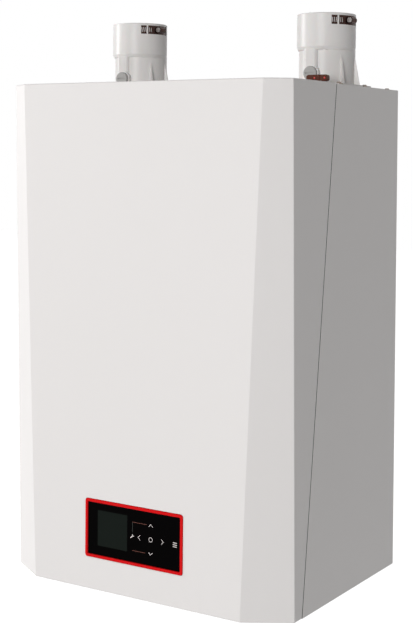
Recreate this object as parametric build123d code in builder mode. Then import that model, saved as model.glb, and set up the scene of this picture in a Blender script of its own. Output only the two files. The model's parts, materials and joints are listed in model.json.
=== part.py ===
from build123d import *

import os
from math import atan, cos, degrees, radians, sin, sqrt, tan

# Wall-hung condensing combi boiler with two vent adaptors on top.
# Origin: middle of the wall bracket's bolt line, on the wall.
# +X is to the right as one faces the boiler, -Y points into the room, +Z is up.

os.makedirs("parts", exist_ok=True)

# ---------------------------------------------------------------- casing sizes
casing_height = 800.0
casing_width = 523.0
casing_depth = 393.0
bolt_line_drop = 90.0          # wall bolts below the casing top
sheet = 1.2                    # casing sheet
front_width_top = 448.0        # flat front face, between its two facets
front_width_bottom = 386.0
facet_angle = 32.0             # facets, measured from the flat front
seam_depth_top = 161.0         # side seam behind the front face
seam_depth_bottom = 65.0
seam_gap = 1.6
flange = 14.0                  # inward flanges of the side panels and the cover
cover_bend = 2.0               # outside bend radius of the sheet
top_step = 1.5                 # fixed casing lies this much lower than the cover
tongue = 22.0                  # top and bottom panels reach under the cover
fit = 0.3                      # clearance between seated pieces
back_recess = 14.0             # back panel in front of the wall

screw_radius = 2.0
screw_head_radius = 4.5
screw_head_height = 2.4
screw_length = 8.0
screw_from_wall = 30.0
screw_from_seam = 30.0

latch_radius = 3.0
latch_head_radius = 8.0
latch_head_height = 3.5
latch_collar = 2.0             # collar that keeps a latch in the bottom panel
latch_stem = 4.0               # stem above the bottom panel
coin_slot = 1.4
strip_inset = 2.0              # seal strips, in from the rim's edges
top_strip_width = 8.0

# ------------------------------------------------------------ wall fixing sizes
bracket_end = 16.8             # bracket beyond each stud
bracket_sheet = 2.0
bracket_height = 50.0
bolt_spacing = 406.4           # two studs, 16 inches apart
bolt_hole_radius = 4.5
bolt_slot_length = 24.0
hook_reach = 8.0               # bracket lip in front of the bracket plate
hook_height = 22.0
rail_width = 400.0

# --------------------------------------------------------- control panel sizes
panel_width = 184.0
panel_height = 92.0
panel_centre_height = 97.7     # above the casing bottom
panel_corner = 4.0
bezel_border = 4.5
bezel_depth = 12.0
bezel_proud = 1.0
window_clearance = 0.6
glass_thickness = 3.0
glass_sunk = 2.2               # glass behind the frame's front
screen_width = 56.0
screen_height = 54.0
screen_thickness = 5.0
screen_from_left = 22.5
screen_from_top = 17.0
control_box_depth = 92.0
control_box_wall = 2.5
box_margin = 2.0               # control box round the bezel
board_thickness = 1.6
board_setback = 8.0            # board behind the bezel
box_leg = 30.0
cooling_slot = 4.0
box_leg_offset = 60.0

# -------------------------------------------------- power switch and cable glands
switch_x = -160.0
switch_y = -275.0
switch_width = 19.0
switch_length = 27.0
switch_wall = 2.5
switch_lip = 2.0
switch_body_height = 16.0
rocker_angle = 8.0             # rocker's tilt each way
rocker_half = 8.6
rocker_depth = 7.0
pivot_rise = 4.0               # rocker's pin above the bottom panel's lower face
pin_radius = 1.5
gland_from_side = 71.5
gland_spacing = 40.0
gland_from_front = 118.0
gland_radius = 8.0
gland_nut = 11.0
gland_nut_height = 6.0

# ------------------------------------------------------------------ vent sizes
vent_from_side = 75.5
vent_from_wall = 121.0
pipe_bore_radius = 44.6        # for 88.9 mm pipe
socket_outer_radius = 48.0
socket_height = 59.0
socket_depth = 52.0
rim_height = 117.6             # socket rim above the casing top
neck_radius = 46.0
neck_shift = 3.5               # neck stands behind the socket axis
duct_bore_radius = 40.4
spigot_radius = 43.0
spigot_length = 45.0
foot_half = 56.0
foot_thickness = 5.5
foot_corner = 4.0
foot_screw_inset = 9.0
rib_count = 5
rib_height = 58.0
rib_reach = 9.0
rib_root = 2.0                 # inside the neck
rib_thickness = 3.0
first_rib_angle = 57.0         # from the front, round the neck by the right and the back
rib_step = 45.0
pillar_angle = 9.0             # moulded pillar left of the front
pillar_width = 25.0
pillar_corner = 7.0
pillar_distance = 35.4
step_rise = 5.0                # slope under the socket
port_height = 20.0             # test port above the casing top
port_boss_radius = 13.5
port_bore_radius = 6.5
port_reach = 53.0
port_shift = 2.5               # test port left of the socket axis
cap_radius = 11.6
cap_thickness = 5.0
cap_travel = 25.0
slide_clearance = 0.06
clamp_drop = 4.0               # clamp below the socket rim
clamp_height = 15.0
band_thickness = 0.6
channel_radius = 46.1
channel_width = 0.9
window_start = 37.0            # clamp window, angles round from the front
post_start = 49.0              # post that divides the window
post_end = 52.0
window_end = 112.0
slot_pitch = 3.4               # slanted slots that the worm's thread runs in
slot_width = 1.5
slot_height = 8.0
slot_lean = 8.0
last_slot = 62.0
worm_angle = 81.5
worm_radius = 4.2
worm_length = 17.0
seal_height = 6.0
seal_width = 1.6
sensor_shift = 31.5            # flue sensor beyond the exhaust's axis
sensor_share = 0.38            # of the way from the seam to the test cap
sensor_height = 14.5           # above the casing top
sensor_length = 37.0
sensor_width = 10.5
sensor_depth = 9.0
sensor_corner = 4.0
sensor_groove = 5.4            # groove beyond the sensor's middle
contact_places = (-3.5, 14.2)
contact_radius = 1.3

# ---------------------------------------------------------- combustion sizes
exchanger_x = 25.0
exchanger_height = 560.0       # axis above the casing bottom
exchanger_radius = 115.0
exchanger_wall = 2.0
exchanger_back = 60.0          # rear of the shell from the wall
exchanger_length = 190.0
standoff_radius = 9.0
standoff_circle = 80.0
shell_rim = 7.0
shell_rim_thickness = 4.0
coil_inner_radius = 62.0
coil_outer_radius = 104.0
coil_turns = 5
coil_gap = 4.0                 # groove between two turns
coil_wall = 1.2
burner_radius = 34.0
burner_wall = 1.5
burner_length = 150.0
burner_flange_radius = 46.0
door_thickness = 11.0
duct_half_height = 34.0
duct_depth = 40.0
duct_wall = 4.0
door_nut_count = 6
nut_size = 11.0
nut_height = 6.0
igniter_offset = 54.0
igniter_radius = 5.0
electrode_radius = 1.2
stub_rise = 55.0               # water stubs above and below the exchanger axis
supply_stub = 15.0             # in front of the shell's rear
return_stub = 40.0
stub_wall = 1.5
stub_straight = 4.0            # straight pipe between a bend and a joint
sump_neck_radius = 34.0
sump_neck_from_wall = 140.0
door_rib = 3.0
door_rib_step = 14.0
stud_radius = 3.0

fan_drop = 38.0                # fan axis below the exchanger axis
volute_radius = 57.0
volute_depth = 38.0
volute_wall = 3.0
outlet_half_height = 20.0
fan_rotor_radius = 46.0
rotor_depth = 24.0
blade_count = 12
blade_thickness = 1.6
blade_angle = 35.0
shaft_radius = 4.0
motor_radius = 44.0
motor_depth = 36.0
motor_plug = 14.0              # half width of the motor's plug
inlet_radius = 28.0
venturi_radius = 37.0
venturi_length = 52.0
venturi_flange = 4.0           # thickness and reach of its two flanges
venturi_waist = 20.0
venturi_outside = 28.0
air_duct_radius = 40.0
air_duct_wall = 1.8
air_duct_bend = 60.0
duct_overlap = 0.7             # share of an adaptor's spigot that a duct fills
gas_valve_drop = 135.0         # valve body below the fan axis
gas_valve_width = 62.0
gas_valve_depth = 56.0
gas_valve_height = 84.0
plunger_radius = 9.0
plunger_travel = 3.0
gas_tube_radius = 8.0
gas_tube_wall = 2.0
gas_inlet_depth = 24.0
plunger_bore_length = 40.0
solenoid_radius = 12.0
solenoid_reach = 16.0
solenoid_offset = 15.0
sump_wall = 3.0
sump_depth = 34.0
sump_front = 205.0             # from the wall
riser_radius = 40.0
riser_wall = 1.8
trap_radius = 30.0
trap_height = 105.0
trap_x = 92.0
trap_from_wall = 188.0
drain_radius = 10.0
drain_wall = 2.5
sump_corner = 12.0
sump_drop = 5.0                # sump below the exchanger
sump_spout = 15.0
cup_height = 20.0
trap_wall = 3.0
trap_foot = 14.0

# --------------------------------------------------------------- water sizes
tail_from_wall = 150.0
tail_drop = 36.0               # pipe tails below the casing
heating_tail_radius = 16.7     # 1 inch male thread, plain
water_tail_radius = 13.33      # 3/4 inch male thread, plain
tail_wall = 3.0
thread_length = 34.0           # plain cylinder that stands for the thread
shoulder = 1.0                 # pipe is this much thicker above its thread
collar_height = 10.0
return_share = 0.631           # pump from the middle, as a share of half the width
supply_x = -75.0
cold_x = 140.0
hot_x = 197.0
gas_share = 0.887              # gas pipe, the same way
gas_pipe_drop = 110.0          # bend of the gas pipe below the valve
pump_height = 190.0            # pump axis above the casing bottom
pump_radius = 46.0
pump_depth = 44.0
pump_motor_radius = 41.0
pump_motor_depth = 78.0
impeller_radius = 32.0
impeller_depth = 16.0
vane_count = 6
pump_shaft_reach = 30.0        # shaft inside the motor
boss_wall = 4.0                # round a pipe's end in a casting
port_core = 20.0               # ways inside the pump, from its axis
branch_reach = 28.0            # pump's side branch in front of its axis
motor_box = 27.0               # half width of the pump's terminal box
diverter_height = 150.0
diverter_radius = 24.0
diverter_length = 100.0
diverter_travel = 8.0
spindle_radius = 4.0
disc_radius = 14.0
diverter_motor_size = 46.0
diverter_motor_height = 42.0
plate_width = 178.0
plate_height = 78.0
plate_depth = 60.0
plate_count = 20
plate_from_wall = 40.0
plate_base_height = 70.0
pipe_radius = 9.0
pipe_wall = 1.2
pipe_bend = 24.0
return_rise = 60.0             # straight rise of the return pipe above the pump
port_inset = 20.0              # plate exchanger's ports from its edges
port_reach_out = 12.0          # and in front of its face
spindle_above = 16.0           # spindle above the valve body
disc_thickness = 5.0
turbine_house_height = 40.0
turbine_pin = 1.5
bearing_bar = 3.0
plate_corner = 15.0
end_plates = 6.0
turbine_radius = 8.0
turbine_length = 12.0
running_clearance = 0.05

# ------------------------------------------------------------ worked-out levels
half_width = casing_width / 2
bracket_width = bolt_spacing + 2 * bracket_end
return_x = -return_share * half_width
gas_x = -gas_share * half_width
top = bolt_line_drop
bottom = top - casing_height
front = -casing_depth
inside = half_width - sheet
side_top = top - top_step
panel_top = side_top - sheet                   # upper face of the top panel
panel_under = panel_top - sheet
floor_under = bottom + sheet + fit             # lower face of the bottom panel
floor_top = floor_under + sheet
seam_slope = (seam_depth_top - seam_depth_bottom) / casing_height
seam_stretch = sqrt(1 + seam_slope * seam_slope)
middle = (top + bottom) / 2
vent_offset = half_width - vent_from_side      # each vent from the middle
vent_y = -vent_from_wall


def seam_at(level, gap=0.0):
    """Where the seam plane, moved back by a gap square to itself, meets a level."""
    return front + seam_depth_bottom + (level - bottom) * seam_slope + gap * seam_stretch


def front_half(level):
    """Half the width of the flat front at a level."""
    share = (level - bottom) / casing_height
    return (front_width_bottom + (front_width_top - front_width_bottom) * share) / 2


def casing_outline(level, inset):
    """Plan of the casing at a level, drawn in by a wall on its front and sides."""
    flat = front_half(level) - inset * tan(radians(facet_angle / 2))
    facet_depth = (half_width - front_half(level)) * tan(radians(facet_angle))
    shoulder = front + facet_depth + inset * tan(radians(45 - facet_angle / 2))
    side = half_width - inset
    nose = front + inset
    return [(-side, 0), (-side, shoulder), (-flat, nose), (flat, nose), (side, shoulder), (side, 0)]


def column(x, y, low, high, radius, mode=Mode.ADD):
    """Upright round bar between two levels."""
    with Locations((x, y, low)):
        Cylinder(radius, high - low, align=(Align.CENTER, Align.CENTER, Align.MIN), mode=mode)


def bar_y(x, z, near, far, radius, mode=Mode.ADD):
    """Round bar along Y, from near the room (low y) to far (high y)."""
    with Locations(Location((x, near, z), (-90, 0, 0))):
        Cylinder(radius, far - near, align=(Align.CENTER, Align.CENTER, Align.MIN), mode=mode)


def bar_x(y, z, left, right, radius, mode=Mode.ADD):
    """Round bar along X between two places."""
    with Locations(Location((left, y, z), (0, 90, 0))):
        Cylinder(radius, right - left, align=(Align.CENTER, Align.CENTER, Align.MIN), mode=mode)


def block(x, y, z, mode=Mode.ADD):
    """Block given by its low and high limits along each axis."""
    with Locations(((x[0] + x[1]) / 2, (y[0] + y[1]) / 2, (z[0] + z[1]) / 2)):
        Box(x[1] - x[0], y[1] - y[0], z[1] - z[0], mode=mode)


def tube_run(points, bends, outer, wall):
    """Bent tube along straight runs joined by arcs."""
    with BuildLine() as route:
        FilletPolyline(*points, radius=bends)
    start = Plane(origin=route.line @ 0, z_dir=route.line % 0)
    with BuildSketch(start) as ring:
        Circle(outer)
        Circle(outer - wall, mode=Mode.SUBTRACT)
    sweep(ring.sketch, path=route.line)


pieces = {}


def screw_rows(level):
    """Places of the three screws along a side flange, from the wall to the seam."""
    near = seam_at(level, seam_gap) + screw_from_seam
    return [-screw_from_wall, (near - screw_from_wall) / 2, near]


top_screw_rows = screw_rows(side_top)
floor_screw_rows = screw_rows(bottom)
seam_plane = Plane(origin=(0, seam_at(middle), middle), x_dir=(1, 0, 0), z_dir=(0, 1, -seam_slope))
strip_length = (casing_height - 2 * flange) * seam_stretch

# ---------------------------------------------------------------- front cover
panel_level = bottom + panel_centre_height
latch_y = seam_at(bottom) - tongue / 2
latch_x = casing_width / 3

with BuildPart() as front_cover:
    for level in (bottom, top):
        with BuildSketch(Plane.XY.offset(level)):
            with BuildLine():
                Polyline(*casing_outline(level, 0), close=True)
            make_face()
    loft(ruled=True)
    folds = front_cover.edges().filter_by(lambda edge: edge.center().Y < -cover_bend)
    fillet(folds, cover_bend)
    for level in (bottom + sheet, top - sheet):
        with BuildSketch(Plane.XY.offset(level)):
            with BuildLine():
                Polyline(*casing_outline(level, sheet), close=True)
            make_face()
    loft(ruled=True, mode=Mode.SUBTRACT)
    split(bisect_by=seam_plane, keep=Keep.BOTTOM)
    # Inward rim along both side edges, in the seam plane.
    with BuildSketch(seam_plane):
        with Locations((inside - flange / 2, 0), (flange / 2 - inside, 0)):
            Rectangle(flange, strip_length)
    extrude(amount=-sheet)
    # Window for the control panel.
    with BuildSketch(Plane.XZ.offset(casing_depth)):
        with Locations((0, panel_level)):
            RectangleRounded(
                panel_width + 2 * window_clearance,
                panel_height + 2 * window_clearance,
                panel_corner + window_clearance,
            )
    extrude(amount=-4 * sheet, mode=Mode.SUBTRACT)
    # Slots for the two latches, open at the rear edge.
    with BuildSketch(Plane.XY.offset(bottom)):
        for side in (-1, 1):
            with Locations((side * latch_x, latch_y)):
                Circle(latch_radius + fit)
            with Locations((side * latch_x, latch_y + tongue / 2)):
                Rectangle(2 * (latch_radius + fit), tongue)
    extrude(amount=2 * sheet, mode=Mode.SUBTRACT)
pieces["front_cover"] = front_cover

# Seal strips between the cover and the fixed casing.
strip_width = flange - 2 * strip_inset
with BuildPart() as cover_gasket:
    with BuildSketch(seam_plane.offset(fit)):
        with Locations((inside - flange / 2, 0), (flange / 2 - inside, 0)):
            Rectangle(strip_width, strip_length)
    extrude(amount=seam_gap - fit)
    gasket_y = seam_at(top) - tongue / 2
    gasket_half = inside - flange - 3 * strip_inset
    block((-gasket_half, gasket_half), (gasket_y - top_strip_width / 2, gasket_y + top_strip_width / 2),
          (panel_top, top - sheet - fit))
pieces["cover_gasket"] = cover_gasket

# ---------------------------------------------------------------- side panels
screw_x = inside - flange / 2
screw_hole = screw_radius + 0.2

for side, name in ((-1, "left_side_panel"), (1, "right_side_panel")):
    with BuildPart() as side_panel:
        with BuildSketch(Plane.YZ.offset(side * half_width)):
            with BuildLine():
                Polyline(
                    (seam_at(bottom, seam_gap), bottom),
                    (0, bottom),
                    (0, side_top),
                    (seam_at(side_top, seam_gap), side_top),
                    close=True,
                )
            make_face()
        extrude(amount=-side * (sheet + flange))
        outer_face = side_panel.faces().sort_by(Axis.X)[-1 if side > 0 else 0]
        fillet(outer_face.edges().sort_by(Axis.Y)[-1], 2 * cover_bend)
        with BuildSketch(Plane.YZ.offset(side * inside)):
            with BuildLine():
                Polyline(
                    (seam_at(bottom + sheet, seam_gap + sheet), bottom + sheet),
                    (-sheet, bottom + sheet),
                    (-sheet, side_top - sheet),
                    (seam_at(side_top - sheet, seam_gap + sheet), side_top - sheet),
                    close=True,
                )
            make_face()
        extrude(amount=-side * (flange + 1), mode=Mode.SUBTRACT)
        for y in top_screw_rows:
            column(side * screw_x, y, side_top - 2 * sheet, side_top + sheet, screw_hole, Mode.SUBTRACT)
        for y in floor_screw_rows:
            column(side * screw_x, y, bottom - sheet, bottom + 2 * sheet, screw_hole, Mode.SUBTRACT)
    pieces[name] = side_panel

# ------------------------------------------------------- top and bottom panels
vents = ((vent_offset, "exhaust"), (-vent_offset, "intake"))
foot_screw = foot_half - foot_screw_inset
gland_y = front + gland_from_front
gland_places = [(half_width - gland_from_side - shift, gland_y) for shift in (0, gland_spacing)]
tails = {
    "return": (return_x, heating_tail_radius),
    "supply": (supply_x, heating_tail_radius),
    "cold": (cold_x, water_tail_radius),
    "hot": (hot_x, water_tail_radius),
    "gas": (gas_x, water_tail_radius),
}
tail_y = -tail_from_wall
tail_low = bottom - tail_drop
thread_top = tail_low + thread_length
collar_top = floor_top + collar_height
trap_y = -trap_from_wall


def panel_plan(level):
    """Plan of the top or bottom panel, with its narrow tongue in front."""
    wide = inside - fit
    narrow = inside - flange - fit
    shoulder = seam_at(level, seam_gap + sheet) + 2 * fit
    tip = seam_at(level) - tongue
    back = -sheet - fit
    return [
        (-wide, back), (-wide, shoulder), (-narrow, shoulder), (-narrow, tip),
        (narrow, tip), (narrow, shoulder), (wide, shoulder), (wide, back),
    ]


with BuildPart() as top_panel:
    with BuildSketch(Plane.XY.offset(panel_under)):
        with BuildLine():
            Polyline(*panel_plan(panel_top), close=True)
        make_face()
        for vent_x, _ in vents:
            with Locations((vent_x, vent_y)):
                Circle(spigot_radius + fit, mode=Mode.SUBTRACT)
                with GridLocations(2 * foot_screw, 2 * foot_screw, 2, 2):
                    Circle(screw_hole, mode=Mode.SUBTRACT)
        with Locations(*[(side * screw_x, y) for side in (-1, 1) for y in top_screw_rows]):
            Circle(screw_hole, mode=Mode.SUBTRACT)
    extrude(amount=sheet)
pieces["top_panel"] = top_panel

with BuildPart() as bottom_panel:
    with BuildSketch(Plane.XY.offset(floor_under)):
        with BuildLine():
            Polyline(*panel_plan(floor_under), close=True)
        make_face()
        for tail_x, radius in tails.values():
            with Locations((tail_x, tail_y)):
                Circle(radius + shoulder + fit, mode=Mode.SUBTRACT)
        with Locations((trap_x, trap_y)):
            Circle(drain_radius + shoulder + fit, mode=Mode.SUBTRACT)
        with Locations(*[(side * screw_x, y) for side in (-1, 1) for y in floor_screw_rows]):
            Circle(screw_hole, mode=Mode.SUBTRACT)
        with Locations((-latch_x, latch_y), (latch_x, latch_y)):
            Circle(latch_radius + running_clearance, mode=Mode.SUBTRACT)
        with Locations(*gland_places):
            Circle(gland_radius + fit, mode=Mode.SUBTRACT)
        with Locations((switch_x, switch_y)):
            Rectangle(switch_width + 2 * fit, switch_length + 2 * fit, mode=Mode.SUBTRACT)
    extrude(amount=sheet)
pieces["bottom_panel"] = bottom_panel

# ------------------------------------------------------ back panel and fixings
with BuildPart() as back_panel:
    wide = inside - fit
    with BuildSketch(Plane.XY.offset(floor_top)):
        with BuildLine():
            Polyline(
                (-wide, -sheet), (-wide, -back_recess - sheet), (wide, -back_recess - sheet),
                (wide, -sheet), (wide - sheet, -sheet), (wide - sheet, -back_recess),
                (sheet - wide, -back_recess), (sheet - wide, -sheet),
                close=True,
            )
        make_face()
    extrude(amount=panel_under - floor_top)
pieces["back_panel"] = back_panel

plate_edge = bracket_height / 2
lip_top = plate_edge + hook_height
with BuildPart() as wall_bracket:
    with BuildSketch(Plane.YZ.offset(-bracket_width / 2)):
        with BuildLine():
            Polyline(
                (0, -plate_edge), (0, plate_edge), (-hook_reach, plate_edge), (-hook_reach, lip_top),
                (-hook_reach - bracket_sheet, lip_top),
                (-hook_reach - bracket_sheet, plate_edge - bracket_sheet),
                (-bracket_sheet, plate_edge - bracket_sheet), (-bracket_sheet, -plate_edge),
                close=True,
            )
        make_face()
    extrude(amount=bracket_width)
    with BuildSketch(Plane.XZ):
        with Locations((-bolt_spacing / 2, 0), (bolt_spacing / 2, 0)):
            SlotOverall(bolt_slot_length, 2 * bolt_hole_radius)
    extrude(amount=2 * bracket_sheet, both=True, mode=Mode.SUBTRACT)
pieces["wall_bracket"] = wall_bracket

rail_lip = -hook_reach / 2
with BuildPart() as hanging_rail:
    with BuildSketch(Plane.YZ.offset(-rail_width / 2)):
        with BuildLine():
            Polyline(
                (-back_recess, 0), (-back_recess, lip_top + fit + bracket_sheet),
                (rail_lip, lip_top + fit + bracket_sheet), (rail_lip, plate_edge + 2 * bracket_sheet),
                (rail_lip - bracket_sheet, plate_edge + 2 * bracket_sheet),
                (rail_lip - bracket_sheet, lip_top + fit), (bracket_sheet - back_recess, lip_top + fit),
                (bracket_sheet - back_recess, 0),
                close=True,
            )
        make_face()
    extrude(amount=rail_width)
pieces["hanging_rail"] = hanging_rail

with BuildPart() as casing_screws:
    seats = [(side * screw_x, y, side_top, 1) for side in (-1, 1) for y in top_screw_rows]
    seats += [(side * screw_x, y, bottom, -1) for side in (-1, 1) for y in floor_screw_rows]
    for vent_x, _ in vents:
        for x_side in (-1, 1):
            for y_side in (-1, 1):
                place = (vent_x + x_side * foot_screw, vent_y + y_side * foot_screw)
                seats.append((*place, panel_top + foot_thickness, 1))
    for x, y, seat, outward in seats:
        with BuildSketch(Plane(origin=(x, y, seat), x_dir=(1, 0, 0), z_dir=(0, -1, 0))) as profile:
            with BuildLine():
                Polyline(
                    (0, outward * screw_head_height),
                    (screw_head_radius - 1.5, outward * screw_head_height),
                    (screw_head_radius, 0), (screw_radius, 0), (screw_radius, -outward * screw_length),
                    (0, -outward * screw_length),
                    close=True,
                )
            make_face()
        revolve(profile.sketch, axis=Axis((x, y, seat), (0, 0, 1)))
pieces["casing_screws"] = casing_screws

for side, name in ((-1, "left_cover_latch"), (1, "right_cover_latch")):
    with BuildPart() as latch:
        x = side * latch_x
        column(x, latch_y, bottom - fit - latch_head_height, bottom - fit, latch_head_radius)
        fillet(latch.faces().sort_by(Axis.Z)[0].edges(), 1.0)
        column(x, latch_y, bottom - fit, floor_top + latch_stem, latch_radius)
        column(x, latch_y, floor_top + fit, floor_top + latch_stem / 2, latch_radius + latch_collar)
        with BuildSketch(Plane.XY.offset(bottom - fit - latch_head_height)):
            with Locations((x, latch_y)):
                Rectangle(2 * latch_head_radius, coin_slot)
        extrude(amount=coin_slot, mode=Mode.SUBTRACT)
    pieces[name] = latch

# -------------------------------------------------------------- control panel
bezel_front = front - bezel_proud
bezel_back = bezel_front + bezel_depth
glass_front = bezel_front + glass_sunk
glass_back = glass_front + glass_thickness
glass_width = panel_width - 2 * bezel_border
glass_height = panel_height - 2 * bezel_border


def panel_plane(y):
    """Upright plane that faces the room, at a depth."""
    return Plane(origin=(0, y, panel_level), x_dir=(1, 0, 0), z_dir=(0, -1, 0))


with BuildPart() as display_bezel:
    with BuildSketch(panel_plane(bezel_back)):
        RectangleRounded(panel_width, panel_height, panel_corner)
    extrude(amount=bezel_depth)
    fillet(display_bezel.faces().sort_by(Axis.Y)[0].edges(), 0.8)
    with BuildSketch(panel_plane(glass_back)):
        RectangleRounded(glass_width, glass_height, 1.5)
    extrude(amount=glass_thickness + glass_sunk, mode=Mode.SUBTRACT)
    with BuildSketch(panel_plane(bezel_back)):
        Rectangle(glass_width - 6, glass_height - 6)
    extrude(amount=bezel_depth, mode=Mode.SUBTRACT)
pieces["display_bezel"] = display_bezel

with BuildPart() as display_glass:
    with BuildSketch(panel_plane(glass_back)):
        RectangleRounded(glass_width - 0.4, glass_height - 0.4, 1.3)
    extrude(amount=glass_thickness)
pieces["display_glass"] = display_glass

screen_x = screen_from_left + screen_width / 2 - panel_width / 2
screen_z = panel_height / 2 - screen_from_top - screen_height / 2
with BuildPart() as display_screen:
    with BuildSketch(panel_plane(glass_back + screen_thickness)):
        with Locations((screen_x, screen_z)):
            Rectangle(screen_width, screen_height)
    extrude(amount=screen_thickness)
pieces["display_screen"] = display_screen

box_back = bezel_back + control_box_depth
box_half = panel_width / 2 + box_margin
box_rise = panel_height / 2 + box_margin
with BuildPart() as control_box:
    with BuildSketch(panel_plane(box_back)):
        RectangleRounded(2 * box_half, 2 * box_rise, panel_corner)
    extrude(amount=control_box_depth)
    with BuildSketch(panel_plane(box_back - control_box_wall)):
        Rectangle(2 * (box_half - control_box_wall), 2 * (box_rise - control_box_wall))
    extrude(amount=control_box_depth - 2 * control_box_wall, mode=Mode.SUBTRACT)
    with BuildSketch(panel_plane(bezel_back)):
        Rectangle(glass_width - 6, glass_height - 6)
    extrude(amount=-control_box_wall, mode=Mode.SUBTRACT)
    # Cooling slots in the back, and two legs on the bottom panel.
    with BuildSketch(panel_plane(box_back)):
        with GridLocations(3.5 * cooling_slot, 0, 9, 1):
            SlotOverall(box_rise, cooling_slot, rotation=90)
    extrude(amount=control_box_wall, mode=Mode.SUBTRACT)
    for side in (-1, 1):
        block(
            (side * box_leg_offset - box_leg / 2, side * box_leg_offset + box_leg / 2),
            (seam_at(bottom), box_back),
            (floor_top, panel_level - box_rise + control_box_wall),
        )
pieces["control_box"] = control_box

board_y = bezel_back + board_setback
with BuildPart() as control_board:
    half = box_half - control_box_wall - fit
    rise = box_rise - control_box_wall - fit
    block((-half, half), (board_y, board_y + board_thickness), (panel_level - rise, panel_level + rise))
    back = board_y + board_thickness
    deep = control_box_depth / 3
    # Transformer, relay, row of connectors and capacitor.
    block((-half * 0.78, -half * 0.33), (back, back + deep), (panel_level - rise / 2, panel_level + rise / 2))
    block((-half * 0.17, half * 0.17), (back, back + deep / 2),
          (panel_level + rise * 0.3, panel_level + rise * 0.7))
    block((-half * 0.17, half * 0.78), (back, back + deep / 2),
          (panel_level - rise * 0.7, panel_level - rise * 0.45))
    bar_y(half / 2, panel_level + rise * 0.4, back, back + deep * 0.8, half / 10)
pieces["control_board"] = control_board

# ---------------------------------------------------- power switch and glands
pivot_z = floor_under + pivot_rise
with BuildPart() as power_switch_housing:
    half_x = switch_width / 2
    half_y = switch_length / 2
    block((switch_x - half_x - switch_lip, switch_x + half_x + switch_lip),
          (switch_y - half_y - switch_lip, switch_y + half_y + switch_lip),
          (floor_under - coin_slot, floor_under))
    block((switch_x - half_x, switch_x + half_x), (switch_y - half_y, switch_y + half_y),
          (floor_under, floor_top + switch_body_height))
    block((switch_x - half_x + switch_wall, switch_x + half_x - switch_wall),
          (switch_y - half_y + switch_wall, switch_y + half_y - switch_wall),
          (floor_under - 2 * coin_slot, floor_top + switch_body_height - 2 * switch_wall), Mode.SUBTRACT)
    bar_x(switch_y, pivot_z, switch_x - half_x + 1, switch_x + half_x - 1, pin_radius + running_clearance,
          Mode.SUBTRACT)
pieces["power_switch_housing"] = power_switch_housing

with BuildPart() as power_rocker:
    inner_half = switch_width / 2 - switch_wall - fit
    lean = radians(-rocker_angle)
    tilt_origin = (switch_x - inner_half, switch_y, pivot_z)
    with BuildSketch(Plane(origin=tilt_origin, x_dir=(0, cos(lean), sin(lean)), z_dir=(1, 0, 0))):
        with BuildLine():
            Polyline(
                (-rocker_half, pin_radius), (-rocker_half, -rocker_depth), (0, 2 - rocker_depth),
                (rocker_half, -rocker_depth), (rocker_half, pin_radius), (0, 2 * pin_radius),
                close=True,
            )
        make_face()
    extrude(amount=2 * inner_half)
    bar_x(switch_y, pivot_z, switch_x - inner_half - 1.2, switch_x + inner_half + 1.2, pin_radius)
pieces["power_rocker"] = power_rocker

with BuildPart() as cable_glands:
    for x, y in gland_places:
        with BuildSketch(Plane.XY.offset(floor_under - gland_nut_height)):
            with Locations((x, y)):
                RegularPolygon(gland_nut, 6)
        extrude(amount=gland_nut_height)
        column(x, y, floor_under, floor_top + gland_radius, gland_radius)
        with BuildSketch(Plane.XY.offset(floor_top)):
            with Locations((x, y)):
                RegularPolygon(gland_nut, 6)
        extrude(amount=gland_nut_height)
        column(x, y, floor_under - 2 * gland_nut_height, floor_top + 2 * gland_radius, gland_radius / 2,
               Mode.SUBTRACT)
pieces["cable_glands"] = cable_glands

# --------------------------------------------------------------- vent adaptors
rim = top + rim_height
socket_floor = rim - socket_depth
sleeve_low = rim - socket_height
foot_top = panel_top + foot_thickness
spigot_low = panel_top - spigot_length
clamp_top = rim - clamp_drop
clamp_low = clamp_top - clamp_height
port_z = top + port_height
cap_back = vent_y - port_reach + cap_thickness
seal_low = socket_floor + 10


def around(angle, radius):
    """Offset from a vent axis at an angle round from the front towards +X."""
    return (radius * sin(radians(angle)), -radius * cos(radians(angle)))


with BuildPart() as vent_seals:
    for vent_x, _ in vents:
        column(vent_x, vent_y, seal_low + fit, seal_low + seal_height - fit,
               pipe_bore_radius + seal_width - 0.1)
        column(vent_x, vent_y, seal_low, seal_low + seal_height, pipe_bore_radius + 0.05, Mode.SUBTRACT)
pieces["vent_seals"] = vent_seals

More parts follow.
